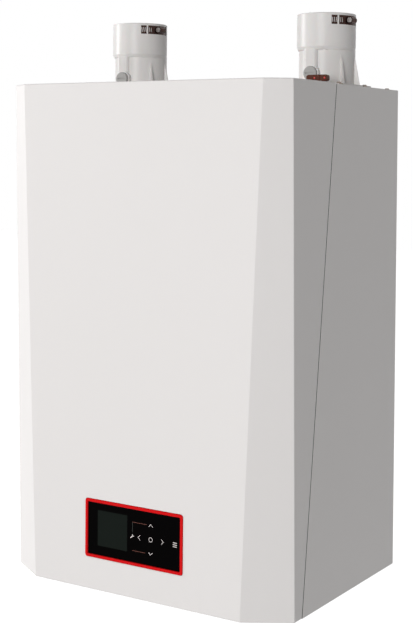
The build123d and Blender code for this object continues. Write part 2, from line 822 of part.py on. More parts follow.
for vent_x, vent_name in vents:
    with BuildPart() as adaptor:
        with BuildSketch(Plane.XY.offset(panel_top)):
            with Locations((vent_x, vent_y)):
                RectangleRounded(2 * foot_half, 2 * foot_half, foot_corner)
        extrude(amount=foot_thickness)
        column(vent_x, vent_y + neck_shift, foot_top, sleeve_low + 3, neck_radius)
        pillar = around(-pillar_angle, pillar_distance)
        with BuildSketch(Plane.XY.offset(foot_top)):
            with Locations((vent_x + pillar[0], vent_y + pillar[1])):
                RectangleRounded(pillar_width, pillar_width, pillar_corner)
        extrude(amount=sleeve_low + 1 - foot_top)
        column(vent_x, vent_y, sleeve_low + step_rise, rim, socket_outer_radius)
        fillet(adaptor.faces().sort_by(Axis.Z)[-1].edges(), 1.2)
        with BuildSketch(Plane.XY.offset(sleeve_low + step_rise)):
            with Locations((vent_x, vent_y)):
                Circle(socket_outer_radius)
        extrude(amount=-step_rise, taper=degrees(atan((socket_outer_radius - neck_radius) / step_rise)))
        # Triangular ribs that brace the neck on its foot.
        for step in range(rib_count):
            spoke = around(first_rib_angle + step * rib_step, 1)
            upright = Plane(
                origin=(vent_x, vent_y + neck_shift, foot_top),
                x_dir=(spoke[0], spoke[1], 0),
                z_dir=(spoke[1], -spoke[0], 0),
            )
            with BuildSketch(upright):
                with BuildLine():
                    Polyline(
                        (neck_radius - rib_root, 0),
                        (neck_radius + rib_reach, 0),
                        (neck_radius - rib_root, rib_height),
                        close=True,
                    )
                make_face()
            extrude(amount=rib_thickness / 2, both=True)
        column(vent_x, vent_y, spigot_low, panel_top, spigot_radius)
        bar_y(vent_x - port_shift, port_z, cap_back, vent_y - duct_bore_radius + 3, port_boss_radius)
        # The flue or air way, the pipe socket and the seal's groove.
        column(vent_x, vent_y, spigot_low - 1, socket_floor, duct_bore_radius, Mode.SUBTRACT)
        column(vent_x, vent_y, socket_floor, rim + 1, pipe_bore_radius, Mode.SUBTRACT)
        column(vent_x, vent_y, seal_low, seal_low + seal_height, pipe_bore_radius + seal_width, Mode.SUBTRACT)
        bar_y(vent_x - port_shift, port_z, cap_back - 1, vent_y - pipe_bore_radius / 2, port_bore_radius,
              Mode.SUBTRACT)
        for x_side in (-1, 1):
            for y_side in (-1, 1):
                column(vent_x + x_side * foot_screw, vent_y + y_side * foot_screw, panel_top - 1,
                       foot_top + 1,
                       screw_hole, Mode.SUBTRACT)
        # Channel for the clamp band, open to the outside at the clamp's screw.
        with BuildSketch(Plane.XY.offset(clamp_low)):
            with Locations((vent_x, vent_y)):
                Circle(channel_radius + channel_width)
                Circle(channel_radius, mode=Mode.SUBTRACT)
        extrude(amount=clamp_height, mode=Mode.SUBTRACT)
        for start, end in ((window_start, post_start), (post_end, window_end)):
            with BuildSketch(Plane.XY.offset(clamp_low)):
                spread = [around(angle, 2 * socket_outer_radius) for angle in (start, (start + end) / 2, end)]
                with BuildLine():
                    Polyline((vent_x, vent_y), *[(vent_x + x, vent_y + y) for x, y in spread], close=True)
                make_face()
                with Locations((vent_x, vent_y)):
                    Circle(channel_radius, mode=Mode.SUBTRACT)
            extrude(amount=clamp_height, mode=Mode.SUBTRACT)
    pieces[f"{vent_name}_adaptor"] = adaptor

    # Clamp: a band in the channel, with the worm's housing on it.
    band_inner = channel_radius + 0.1
    band_outer = band_inner + band_thickness
    tangent = (cos(radians(worm_angle)), sin(radians(worm_angle)), 0)
    radial = around(worm_angle, 1)
    worm_distance = band_outer + worm_radius
    worm_centre = (
        vent_x + radial[0] * worm_distance,
        vent_y + radial[1] * worm_distance,
        (clamp_low + clamp_top) / 2,
    )
    worm_plane = Plane(origin=worm_centre, x_dir=(radial[0], radial[1], 0), z_dir=tangent)
    housing_half = worm_length / 2 - 2.5
    with BuildPart() as clamp:
        with BuildSketch(Plane.XY.offset(clamp_low + fit)):
            with Locations((vent_x, vent_y)):
                Circle(band_outer)
                Circle(band_inner, mode=Mode.SUBTRACT)
        extrude(amount=clamp_height - 2 * fit)
        slot_turn = degrees(slot_pitch / band_outer)
        for step in range(int((last_slot - window_start) / slot_turn)):
            angle = window_start + (step + 0.5) * slot_turn
            spoke = around(angle, 1)
            along = (cos(radians(angle)), sin(radians(angle)))
            slot_plane = Plane(
                origin=(vent_x, vent_y, (clamp_low + clamp_top) / 2),
                x_dir=(along[0], along[1], tan(radians(slot_lean))),
                z_dir=(spoke[0], spoke[1], 0),
            )
            with BuildSketch(slot_plane.offset(band_inner - 1)):
                Rectangle(slot_width, slot_height)
            extrude(amount=band_thickness + 2, mode=Mode.SUBTRACT)
        with BuildSketch(worm_plane.offset(-housing_half)):
            with Locations((-worm_radius / 2 + 0.1, 0)):
                Rectangle(worm_radius, 2 * worm_radius + 3)
            Circle(worm_radius + 0.8)
            with Locations((-worm_radius - 6, 0)):
                Rectangle(12 - 0.4, clamp_height, mode=Mode.SUBTRACT)
        extrude(amount=2 * housing_half)
        with BuildSketch(worm_plane.offset(-housing_half - 1)):
            Circle(worm_radius - 1 + running_clearance)
        extrude(amount=2 * housing_half + 2, mode=Mode.SUBTRACT)
    pieces[f"{vent_name}_clamp"] = clamp

    with BuildPart() as clamp_screw:
        with BuildSketch(worm_plane.offset(-housing_half - fit)):
            Circle(worm_radius - 1)
        extrude(amount=2 * housing_half + 2 * fit)
        with BuildSketch(worm_plane.offset(-housing_half - fit)):
            RegularPolygon(worm_radius, 6)
        extrude(amount=-3)
        with BuildSketch(worm_plane.offset(-housing_half - fit - 3)):
            Rectangle(2 * worm_radius, 1)
        extrude(amount=1.2, mode=Mode.SUBTRACT)
    pieces[f"{vent_name}_clamp_screw"] = clamp_screw

    with BuildPart() as test_cap:
        bar_y(vent_x - port_shift, port_z, vent_y - port_reach, cap_back, cap_radius)
        fillet(test_cap.faces().sort_by(Axis.Y)[0].edges(), 1.2)
        bar_y(vent_x - port_shift, port_z, cap_back, cap_back + 7, port_bore_radius - slide_clearance)
        with BuildSketch(Plane(origin=(vent_x - port_shift, vent_y - port_reach, port_z), z_dir=(0, -1, 0),
                               x_dir=(1, 0, 0))):
            SlotOverall(1.4 * cap_radius, 2.4)
        extrude(amount=-1.4, mode=Mode.SUBTRACT)
    pieces[f"{vent_name}_test_cap"] = test_cap

# Flue temperature sensor in front of the exhaust adaptor.
sensor_x = vent_offset + sensor_shift
cap_front = vent_y - port_reach
sensor_y = seam_at(top) + sensor_share * (cap_front - seam_at(top))
sensor_top = top + sensor_height
sensor_front = sensor_y - sensor_depth / 2
sensor_z = sensor_top - sensor_width / 2
with BuildPart() as flue_sensor:
    with BuildSketch(Plane(origin=(sensor_x, sensor_front + sensor_depth, sensor_z), x_dir=(1, 0, 0),
                           z_dir=(0, -1, 0))):
        RectangleRounded(sensor_length, sensor_width, sensor_corner)
    extrude(amount=sensor_depth)
    fillet(flue_sensor.faces().sort_by(Axis.Y)[0].edges(), sensor_corner / 5)
    groove_x = sensor_x + sensor_groove
    block((groove_x - 0.4, groove_x + 0.4), (sensor_front - 1, sensor_front + 0.8),
          (panel_top, sensor_top + 1),
          Mode.SUBTRACT)
    for shift in contact_places:
        bar_y(sensor_x + shift, sensor_z, sensor_front - 0.5, sensor_front + 1, contact_radius)
    column(sensor_x, sensor_y, panel_top, sensor_z, sensor_width / 2.5)
pieces["flue_sensor"] = flue_sensor

# -------------------------------------------------------------- heat exchanger
shell_x = exchanger_x
shell_z = bottom + exchanger_height
shell_back = -exchanger_back
shell_mouth = shell_back - exchanger_length
shell_low = shell_z - exchanger_radius
# The heating header runs between the air duct and the shell.
header_x = (air_duct_radius - vent_offset + shell_x - exchanger_radius) / 2
stub_end = header_x + pipe_bend + stub_straight
supply_port = (shell_back - supply_stub, shell_z + stub_rise)       # y and z of each water port
return_port = (shell_back - return_stub, shell_z - stub_rise)
neck_y = -sump_neck_from_wall


def ring_of(count, radius, turn=0.0):
    """Places round the heat exchanger's axis, as x and z."""
    steps = [radians(turn + 360 * k / count) for k in range(count)]
    return [(shell_x + radius * cos(angle), shell_z + radius * sin(angle)) for angle in steps]


with BuildPart() as exchanger_shell:
    bar_y(shell_x, shell_z, shell_mouth, shell_back, exchanger_radius)
    bar_y(shell_x, shell_z, shell_mouth, shell_mouth + shell_rim_thickness, exchanger_radius + shell_rim)
    for x, z in ring_of(4, standoff_circle, 45):
        bar_y(x, z, shell_back, -back_recess - sheet, standoff_radius)
    for y, z in (supply_port, return_port):
        bar_x(y, z, stub_end, shell_x - exchanger_radius / 2, pipe_radius + stub_wall)
    bar_y(shell_x, shell_z, shell_mouth - 1, shell_back - exchanger_wall, exchanger_radius - exchanger_wall,
          Mode.SUBTRACT)
    for y, z in (supply_port, return_port):
        bar_x(y, z, stub_end - 1, shell_x - exchanger_radius / 2, pipe_radius - pipe_wall, Mode.SUBTRACT)
    column(shell_x, neck_y, shell_low - 1, shell_z - exchanger_radius / 2, sump_neck_radius + fit,
           Mode.SUBTRACT)
pieces["exchanger_shell"] = exchanger_shell

# Coil of flat tube: hollow turns side by side, with a groove between two turns.
coil_front = shell_mouth + 3 * coil_gap
coil_back = shell_back - exchanger_wall
turn_pitch = (coil_back - coil_front) / coil_turns
coil_reach = coil_outer_radius - coil_inner_radius
with BuildPart() as exchanger_coil:
    with BuildSketch(Plane.XY.offset(shell_z)) as coil_profile:
        with Locations((shell_x + coil_inner_radius + coil_reach / 2, (coil_front + coil_back) / 2)):
            Rectangle(coil_reach, coil_back - coil_front)
        for turn in range(1, coil_turns):
            with Locations((shell_x + coil_outer_radius, coil_front + turn * turn_pitch)):
                Rectangle(coil_reach, coil_gap, mode=Mode.SUBTRACT)
        for turn in range(coil_turns):
            turn_middle = coil_front + (turn + 0.5) * turn_pitch
            with Locations((shell_x + coil_inner_radius + coil_reach / 2, turn_middle)):
                Rectangle(coil_reach - 2 * coil_wall, turn_pitch - coil_gap - 2 * coil_wall,
                          mode=Mode.SUBTRACT)
    revolve(coil_profile.sketch, axis=Axis((shell_x, 0, shell_z), (0, 1, 0)))
pieces["exchanger_coil"] = exchanger_coil

with BuildPart() as burner_tube:
    bar_y(shell_x, shell_z, shell_mouth, shell_mouth + burner_wall, burner_flange_radius)
    bar_y(shell_x, shell_z, shell_mouth, shell_mouth + burner_length, burner_radius)
    bar_y(shell_x, shell_z, shell_mouth - 1, shell_mouth + burner_length - burner_wall,
          burner_radius - burner_wall,
          Mode.SUBTRACT)
pieces["burner_tube"] = burner_tube

door_front = shell_mouth - door_thickness
duct_front = door_front - duct_depth
fan_x = -vent_offset
fan_z = shell_z - fan_drop
outlet_x = shell_x - exchanger_radius + 2 * duct_wall
door_plane = Plane(origin=(0, shell_mouth, 0), x_dir=(1, 0, 0), z_dir=(0, -1, 0))
igniter_place = (shell_x, shell_z + igniter_offset)
with BuildPart() as burner_door:
    with BuildSketch(door_plane):
        with Locations((shell_x, shell_z)):
            Circle(exchanger_radius + shell_rim)
        with Locations(igniter_place):
            Circle(igniter_radius + fit, mode=Mode.SUBTRACT)
    extrude(amount=door_thickness)
    fillet(burner_door.faces().sort_by(Axis.Y)[0].edges().sort_by(SortBy.LENGTH)[-1], 2)
    # Cast duct that brings the mixture from the fan to the burner.
    with BuildSketch(door_plane.offset(door_thickness)):
        with Locations((shell_x, shell_z)):
            Circle(duct_half_height)
        with Locations(((outlet_x + shell_x) / 2, shell_z)):
            Rectangle(shell_x - outlet_x, 2 * duct_half_height)
    extrude(amount=duct_depth)
    with BuildSketch(door_plane.offset(door_thickness)):
        with Locations((shell_x, shell_z)):
            Circle(duct_half_height - duct_wall)
        with Locations(((outlet_x + shell_x) / 2, shell_z)):
            Rectangle(shell_x - outlet_x, 2 * (duct_half_height - duct_wall))
    extrude(amount=duct_depth - duct_wall, mode=Mode.SUBTRACT)
    bar_y(shell_x, shell_z, door_front - 1, shell_mouth + 1, duct_half_height - duct_wall, Mode.SUBTRACT)
    # Cooling ribs on the door above and below the duct.
    for side in (-1, 1):
        for step in range(3):
            reach = duct_half_height + door_rib_step * (step + 1)
            half = sqrt(exchanger_radius ** 2 - reach * reach) - 2 * door_rib_step
            rib_z = shell_z + side * reach
            block((shell_x + 1.5 * door_rib_step, shell_x + half), (door_front - 2 * door_rib, door_front),
                  (rib_z - door_rib / 2, rib_z + door_rib / 2))
pieces["burner_door"] = burner_door

with BuildPart() as door_nuts:
    with BuildSketch(door_plane.offset(door_thickness)):
        for x, z in ring_of(door_nut_count, exchanger_radius - shell_rim / 2, 30):
            with Locations((x, z)):
                RegularPolygon(nut_size / 2, 6, major_radius=False)
    extrude(amount=nut_height)
    for x, z in ring_of(door_nut_count, exchanger_radius - shell_rim / 2, 30):
        bar_y(x, z, door_front - nut_height - stud_radius, door_front - nut_height, stud_radius)
pieces["door_nuts"] = door_nuts

with BuildPart() as igniter:
    electrode_start = shell_mouth + 5 * igniter_radius
    bar_y(*igniter_place, door_front - 4 * igniter_radius, electrode_start, igniter_radius)
    with BuildSketch(door_plane.offset(door_thickness)):
        with Locations(igniter_place):
            SlotOverall(6 * igniter_radius, 3 * igniter_radius)
    extrude(amount=igniter_radius / 2)
    for side in (-1, 1):
        bar_y(shell_x + side * igniter_radius / 2, igniter_place[1], electrode_start,
              electrode_start + 3 * igniter_radius, electrode_radius)
pieces["igniter"] = igniter

# ------------------------------------------------------------------------- fan
fan_middle = (door_front + duct_front) / 2
fan_front = fan_middle - volute_depth / 2
fan_back = fan_middle + volute_depth / 2
outlet_z = shell_z - fan_z
motor_front = fan_front - motor_depth
fan_plane = Plane(origin=(fan_x, fan_back, fan_z), x_dir=(1, 0, 0), z_dir=(0, -1, 0))
with BuildPart() as fan_housing:
    with BuildSketch(fan_plane):
        Circle(volute_radius)
        with Locations(((outlet_x - fan_x) / 2, outlet_z)):
            Rectangle(outlet_x - fan_x, 2 * outlet_half_height)
    extrude(amount=volute_depth)
    fillet(fan_housing.faces().sort_by(Axis.Y)[0].edges(), 3)
    with BuildSketch(fan_plane.offset(volute_wall)):
        Circle(volute_radius - volute_wall)
        with Locations(((outlet_x - fan_x) / 2 + 1, outlet_z)):
            Rectangle(outlet_x - fan_x + 2, 2 * (outlet_half_height - volute_wall))
    extrude(amount=volute_depth - 2 * volute_wall, mode=Mode.SUBTRACT)
    flange_reach = outlet_half_height + 2 * volute_wall
    block((outlet_x - volute_wall, outlet_x), (fan_front, fan_back),
          (shell_z - flange_reach, shell_z + flange_reach))
    block((outlet_x - 2 * volute_wall, outlet_x + 1), (fan_front + volute_wall, fan_back - volute_wall),
          (shell_z - outlet_half_height + volute_wall, shell_z + outlet_half_height - volute_wall),
          Mode.SUBTRACT)
    bar_y(fan_x, fan_z, fan_back - 2 * volute_wall, fan_back + 1, inlet_radius, Mode.SUBTRACT)
    bar_y(fan_x, fan_z, fan_front - 1, fan_front + 2 * volute_wall, 1.5 * shaft_radius, Mode.SUBTRACT)
pieces["fan_housing"] = fan_housing

rotor_front = fan_front + volute_wall + shaft_radius
rotor_plate = 2.0
shaft_end = fan_front - motor_depth + 2.5 * shaft_radius
with BuildPart() as fan_rotor:
    bar_y(fan_x, fan_z, rotor_front, rotor_front + rotor_plate, fan_rotor_radius)
    bar_y(fan_x, fan_z, rotor_front, rotor_front + rotor_depth, 3 * shaft_radius)
    bar_y(fan_x, fan_z, shaft_end, rotor_front, shaft_radius)
    with BuildSketch(Plane(origin=(fan_x, rotor_front + rotor_plate, fan_z), x_dir=(1, 0, 0),
                           z_dir=(0, 1, 0))) as blades:
        with PolarLocations(fan_rotor_radius * 0.74, blade_count):
            Rectangle(fan_rotor_radius * 0.5, blade_thickness, rotation=blade_angle)
    extrude(blades.sketch, amount=rotor_depth - rotor_plate)
pieces["fan_rotor"] = fan_rotor

with BuildPart() as fan_motor:
    bar_y(fan_x, fan_z, motor_front, fan_front, motor_radius)
    fillet(fan_motor.faces().sort_by(Axis.Y)[0].edges(), 5)
    plug_z = fan_z - motor_radius * 0.7
    block((fan_x - motor_plug, fan_x + motor_plug),
          (motor_front - shaft_radius, motor_front + motor_plug / 2),
          (plug_z - motor_plug / 3, plug_z + motor_plug / 3))
    bar_y(fan_x, fan_z, shaft_end - 1, fan_front + 1, shaft_radius + running_clearance, Mode.SUBTRACT)
pieces["fan_motor"] = fan_motor

venturi_end = fan_back + venturi_length
venturi_y = (fan_back + venturi_end) / 2
venturi_rim = venturi_radius + venturi_flange
gas_joint_z = fan_z - venturi_radius - 2 * venturi_flange
valve_top = fan_z - gas_valve_drop + gas_valve_height / 2
valve_low = valve_top - gas_valve_height
with BuildPart() as venturi:
    with BuildSketch(Plane(origin=(fan_x, fan_back, fan_z), x_dir=(1, 0, 0),
                           z_dir=(0, 0, 1))) as venturi_profile:
        with BuildLine():
            Polyline(
                (inlet_radius, 0), (venturi_rim, 0), (venturi_rim, venturi_flange),
                (inlet_radius + venturi_flange, venturi_flange), (venturi_outside, venturi_length / 2),
                (inlet_radius + venturi_flange, venturi_length - venturi_flange),
                (venturi_rim, venturi_length - venturi_flange), (venturi_rim, venturi_length),
                (inlet_radius, venturi_length), (venturi_waist, venturi_length / 2), close=True,
            )
        make_face()
    revolve(venturi_profile.sketch, axis=Axis((fan_x, 0, fan_z), (0, 1, 0)))
    column(fan_x, venturi_y, gas_joint_z, fan_z - venturi_waist, gas_tube_radius + gas_tube_wall)
    bar_y(fan_x, fan_z, fan_back + venturi_flange, venturi_end - venturi_flange, venturi_waist, Mode.SUBTRACT)
    column(fan_x, venturi_y, gas_joint_z - 1, fan_z - venturi_waist / 2, gas_tube_radius - gas_tube_wall,
           Mode.SUBTRACT)
pieces["venturi"] = venturi

duct_top = panel_top - spigot_length * (1 - duct_overlap)
with BuildPart() as air_duct:
    tube_run(
        [(-vent_offset, vent_y, duct_top), (-vent_offset, vent_y, fan_z), (-vent_offset, venturi_end, fan_z)],
        air_duct_bend, air_duct_radius, air_duct_wall,
    )
pieces["air_duct"] = air_duct

# ------------------------------------------------------------------- gas valve
valve_front = venturi_y - gas_valve_depth / 2
bore_low = valve_low + gas_inlet_depth
bore_high = bore_low + plunger_bore_length
with BuildPart() as gas_valve:
    block((fan_x - gas_valve_width / 2, fan_x + gas_valve_width / 2),
          (valve_front, valve_front + gas_valve_depth), (valve_low, valve_top))
    fillet(gas_valve.edges().filter_by(Axis.Z), gas_tube_wall)
    column(fan_x, venturi_y, valve_top, gas_joint_z, gas_tube_radius + gas_tube_wall)
    for side in (-1, 1):
        bar_y(fan_x + side * solenoid_offset, valve_top - 2 * solenoid_radius, valve_front - solenoid_reach,
              valve_front, solenoid_radius)
    column(fan_x, venturi_y, bore_low, bore_high, plunger_radius + running_clearance, Mode.SUBTRACT)
    column(fan_x, venturi_y, valve_low - 1, bore_low, gas_tube_radius, Mode.SUBTRACT)
    column(fan_x, venturi_y, bore_high, fan_z - venturi_radius, gas_tube_radius - gas_tube_wall,
           Mode.SUBTRACT)
pieces["gas_valve"] = gas_valve

with BuildPart() as gas_plunger:
    column(fan_x, venturi_y, bore_low + fit, bore_high - plunger_travel - fit, plunger_radius)
    column(fan_x, venturi_y, bore_low + plunger_radius, bore_high, plunger_radius / 2, Mode.SUBTRACT)
pieces["gas_plunger"] = gas_plunger


def tail(name, pipe_inner):
    """Threaded tail through the bottom panel, with a hexagonal collar that seats on it."""
    x, radius = tails[name]
    column(x, tail_y, tail_low, thread_top, radius)
    column(x, tail_y, thread_top, floor_top, radius + shoulder)
    with BuildSketch(Plane.XY.offset(floor_top)) as collar:
        with Locations((x, tail_y)):
            RegularPolygon(radius + shoulder + tail_wall, 6, major_radius=False)
    extrude(collar.sketch, amount=collar_height)
    column(x, tail_y, tail_low - 1, floor_top + collar_height / 2, radius - tail_wall, Mode.SUBTRACT)
    column(x, tail_y, floor_top, collar_top + 1, pipe_inner, Mode.SUBTRACT)


with BuildPart() as gas_pipe:
    tail("gas", pipe_radius - pipe_wall)
    tube_run(
        [(gas_x, tail_y, collar_top - 1),
         (gas_x, tail_y, valve_low - gas_pipe_drop),
         (fan_x, venturi_y, valve_low - 2 * pipe_bend), (fan_x, venturi_y, valve_low)],
        pipe_bend, pipe_radius, pipe_wall,
    )
pieces["gas_pipe"] = gas_pipe

# ------------------------------------------------------- condensate and flue
sump_top = shell_low - sump_drop
sump_low = sump_top - sump_depth
cup_radius = riser_radius + fit + sump_wall
sump_left = shell_x - sump_neck_radius - sump_corner
sump_right = vent_offset + cup_radius + sump_wall
sump_back = vent_y + cup_radius + sump_wall
with BuildPart() as condensate_sump:
    with BuildSketch(Plane.XY.offset(sump_low)):
        with Locations(((sump_left + sump_right) / 2, (sump_back - sump_front) / 2)):
            RectangleRounded(sump_right - sump_left, sump_back + sump_front, sump_corner)
    extrude(amount=sump_depth)
    column(shell_x, neck_y, sump_top, shell_low + exchanger_wall, sump_neck_radius)
    column(vent_offset, vent_y, sump_top, sump_top + cup_height, cup_radius)
    column(trap_x, trap_y, sump_low - sump_spout, sump_low, drain_radius)
    with BuildSketch(Plane.XY.offset(sump_low + sump_wall)):
        with Locations(((sump_left + sump_right) / 2, (sump_back - sump_front) / 2)):
            RectangleRounded(sump_right - sump_left - 2 * sump_wall,
                             sump_back + sump_front - 2 * sump_wall,
                             sump_corner - sump_wall)
    extrude(amount=sump_depth - 2 * sump_wall, mode=Mode.SUBTRACT)
    column(shell_x, neck_y, sump_top - 2 * sump_wall, shell_low + 4 * exchanger_wall,
           sump_neck_radius - sump_wall,
           Mode.SUBTRACT)
    column(vent_offset, vent_y, sump_top, sump_top + cup_height + 1, riser_radius + fit, Mode.SUBTRACT)
    column(vent_offset, vent_y, sump_top - 2 * sump_wall, sump_top + 1, riser_radius - sump_wall,
           Mode.SUBTRACT)
    column(trap_x, trap_y, sump_low - sump_spout - 1, sump_low + 2 * sump_wall, drain_radius - drain_wall,
           Mode.SUBTRACT)
pieces["condensate_sump"] = condensate_sump

with BuildPart() as flue_riser:
    column(vent_offset, vent_y, sump_top, duct_top, riser_radius)
    column(vent_offset, vent_y, sump_top - 1, duct_top + 1, riser_radius - riser_wall, Mode.SUBTRACT)
pieces["flue_riser"] = flue_riser

trap_top = sump_low - sump_wall
trap_low = trap_top - trap_height
with BuildPart() as condensate_trap:
    column(trap_x, trap_y, trap_low, trap_top, trap_radius)
    fillet(condensate_trap.edges(), trap_wall)
    column(trap_x, trap_y, trap_low - trap_foot, trap_low, 2 * drain_radius)
    column(trap_x, trap_y, tail_low, thread_top, drain_radius)
    column(trap_x, trap_y, thread_top, trap_low, drain_radius + shoulder)
    column(trap_x, trap_y, floor_top, floor_top + collar_height / 2, 1.5 * drain_radius)
    column(trap_x, trap_y, trap_low + trap_wall, trap_top - trap_wall, trap_radius - trap_wall, Mode.SUBTRACT)
    column(trap_x, trap_y, tail_low - 1, trap_low + 2 * trap_wall, drain_radius - drain_wall, Mode.SUBTRACT)
    column(trap_x, trap_y, trap_top - 2 * trap_wall, trap_top + 1, drain_radius + fit, Mode.SUBTRACT)
pieces["condensate_trap"] = condensate_trap

# ------------------------------------------------------------------------ pump
pump_z = bottom + pump_height
pump_front = tail_y - pump_depth / 2
pump_port_top = pump_z + pump_radius + 4 * boss_wall
branch_z = bottom + plate_base_height + port_inset
branch_end = tail_y - branch_reach
chamber_radius = impeller_radius + boss_wall
with BuildPart() as pump_body:
    tail("return", heating_tail_radius - tail_wall)
    column(return_x, tail_y, collar_top - 1, pump_z, heating_tail_radius + shoulder)
    column(return_x, tail_y, pump_z, pump_port_top, pipe_radius + boss_wall)
    bar_y(return_x, pump_z, pump_front, pump_front + pump_depth, pump_radius)
    fillet(pump_body.faces().sort_by(Axis.Y)[-1].edges(), boss_wall)
    bar_y(return_x, branch_z, branch_end, tail_y, pipe_radius + boss_wall)
    bar_y(return_x, pump_z, pump_front - 1, pump_front + impeller_depth + 2 * boss_wall, chamber_radius,
          Mode.SUBTRACT)
    column(return_x, tail_y, collar_top - 2, pump_z - port_core, heating_tail_radius - tail_wall,
           Mode.SUBTRACT)
    column(return_x, tail_y, pump_z + port_core, pump_port_top + 1, pipe_radius - pipe_wall, Mode.SUBTRACT)
    bar_y(return_x, branch_z, branch_end - 1, tail_y, pipe_radius - pipe_wall, Mode.SUBTRACT)
pieces["pump_body"] = pump_body

with BuildPart() as pump_impeller:
    impeller_front = pump_front + boss_wall
    bar_y(return_x, pump_z, impeller_front, impeller_front + rotor_plate, impeller_radius)
    bar_y(return_x, pump_z, impeller_front, impeller_front + impeller_depth, 2 * shaft_radius)
    bar_y(return_x, pump_z, pump_front - pump_shaft_reach, impeller_front, shaft_radius)
    vane_origin = (return_x, impeller_front + rotor_plate, pump_z)
    with BuildSketch(Plane(origin=vane_origin, x_dir=(1, 0, 0), z_dir=(0, 1, 0))) as vanes:
        with PolarLocations(impeller_radius * 0.6, vane_count):
            Rectangle(impeller_radius * 0.7, rotor_plate, rotation=blade_angle)
    extrude(vanes.sketch, amount=impeller_depth - rotor_plate)
pieces["pump_impeller"] = pump_impeller

with BuildPart() as pump_motor:
    bar_y(return_x, pump_z, pump_front - pump_motor_depth, pump_front, pump_motor_radius)
    fillet(pump_motor.faces().sort_by(Axis.Y)[0].edges(), boss_wall)
    box_front = pump_front - pump_motor_depth - 2 * boss_wall
    block((return_x - motor_box, return_x + motor_box), (box_front, box_front + 4 * boss_wall),
          (pump_z - motor_box, pump_z + motor_box))
    bar_y(return_x, pump_z, pump_front - pump_shaft_reach - 1, pump_front + 1,
          shaft_radius + running_clearance, Mode.SUBTRACT)
pieces["pump_motor"] = pump_motor

with BuildPart() as return_pipe:
    tube_run(
        [(return_x, tail_y, pump_port_top), (return_x, tail_y, pump_port_top + return_rise),
         (header_x, return_port[0], pump_port_top + 2 * return_rise),
         (header_x, return_port[0], return_port[1]),
         (stub_end, return_port[0], return_port[1])],
        pipe_bend, pipe_radius, pipe_wall,
    )
pieces["return_pipe"] = return_pipe

# -------------------------------------------------------------- diverter valve
diverter_top = bottom + diverter_height + diverter_length / 2
diverter_low = diverter_top - diverter_length
plate_low = bottom + plate_base_height
upper_port_z = plate_low + plate_height - port_inset
lower_port_z = plate_low + port_inset
plate_front = -plate_from_wall - plate_depth
port_end = plate_front - port_reach_out
supply_entry_z = bottom + diverter_height
supply_entry_y = tail_y + 2 * diverter_radius
side_port_x = supply_x + 1.5 * diverter_radius
cavity_radius = disc_radius + boss_wall / 2
with BuildPart() as diverter_body:
    tail("supply", heating_tail_radius - tail_wall)
    column(supply_x, tail_y, collar_top - 1, diverter_low + 1, heating_tail_radius + shoulder)
    column(supply_x, tail_y, diverter_low, diverter_top, diverter_radius)
    bar_y(supply_x, supply_entry_z, tail_y, supply_entry_y, pipe_radius + boss_wall)
    bar_x(tail_y, upper_port_z, supply_x, side_port_x, pipe_radius + boss_wall)
    column(supply_x, tail_y, collar_top - 2, diverter_low + 2 * boss_wall + 1,
           heating_tail_radius - tail_wall, Mode.SUBTRACT)
    column(supply_x, tail_y, diverter_low + 2 * boss_wall, diverter_top - 2 * boss_wall, cavity_radius,
           Mode.SUBTRACT)
    bar_y(supply_x, supply_entry_z, tail_y, supply_entry_y + 1, pipe_radius - pipe_wall, Mode.SUBTRACT)
    bar_x(tail_y, upper_port_z, supply_x, side_port_x + 1, pipe_radius - pipe_wall, Mode.SUBTRACT)
    column(supply_x, tail_y, diverter_top - 2 * boss_wall - 1, diverter_top + 1,
           spindle_radius + running_clearance, Mode.SUBTRACT)
pieces["diverter_body"] = diverter_body

spindle_top = diverter_top + spindle_above
seat_low = diverter_low + 4 * boss_wall
with BuildPart() as diverter_spindle:
    column(supply_x, tail_y, seat_low, spindle_top, spindle_radius)
    for disc_z in (seat_low, supply_entry_z + disc_radius):
        column(supply_x, tail_y, disc_z, disc_z + disc_thickness, disc_radius)
pieces["diverter_spindle"] = diverter_spindle

with BuildPart() as diverter_motor:
    half = diverter_motor_size / 2
    block((supply_x - half, supply_x + half), (tail_y - half, tail_y + half),
          (diverter_top, diverter_top + diverter_motor_height))
    fillet(diverter_motor.edges().filter_by(Axis.Z), boss_wall)
    fillet(diverter_motor.faces().sort_by(Axis.Z)[-1].edges(), boss_wall / 2)
    column(supply_x, tail_y, diverter_top - 1, spindle_top + diverter_travel + 2,
           spindle_radius + running_clearance,
           Mode.SUBTRACT)
pieces["diverter_motor"] = diverter_motor

with BuildPart() as supply_pipe:
    tube_run(
        [(stub_end, supply_port[0], supply_port[1]), (header_x, supply_port[0], supply_port[1]),
         (header_x, supply_port[0], supply_entry_z + return_rise), (supply_x, supply_port[0], supply_entry_z),
         (supply_x, supply_entry_y, supply_entry_z)],
        pipe_bend, pipe_radius, pipe_wall,
    )
pieces["supply_pipe"] = supply_pipe

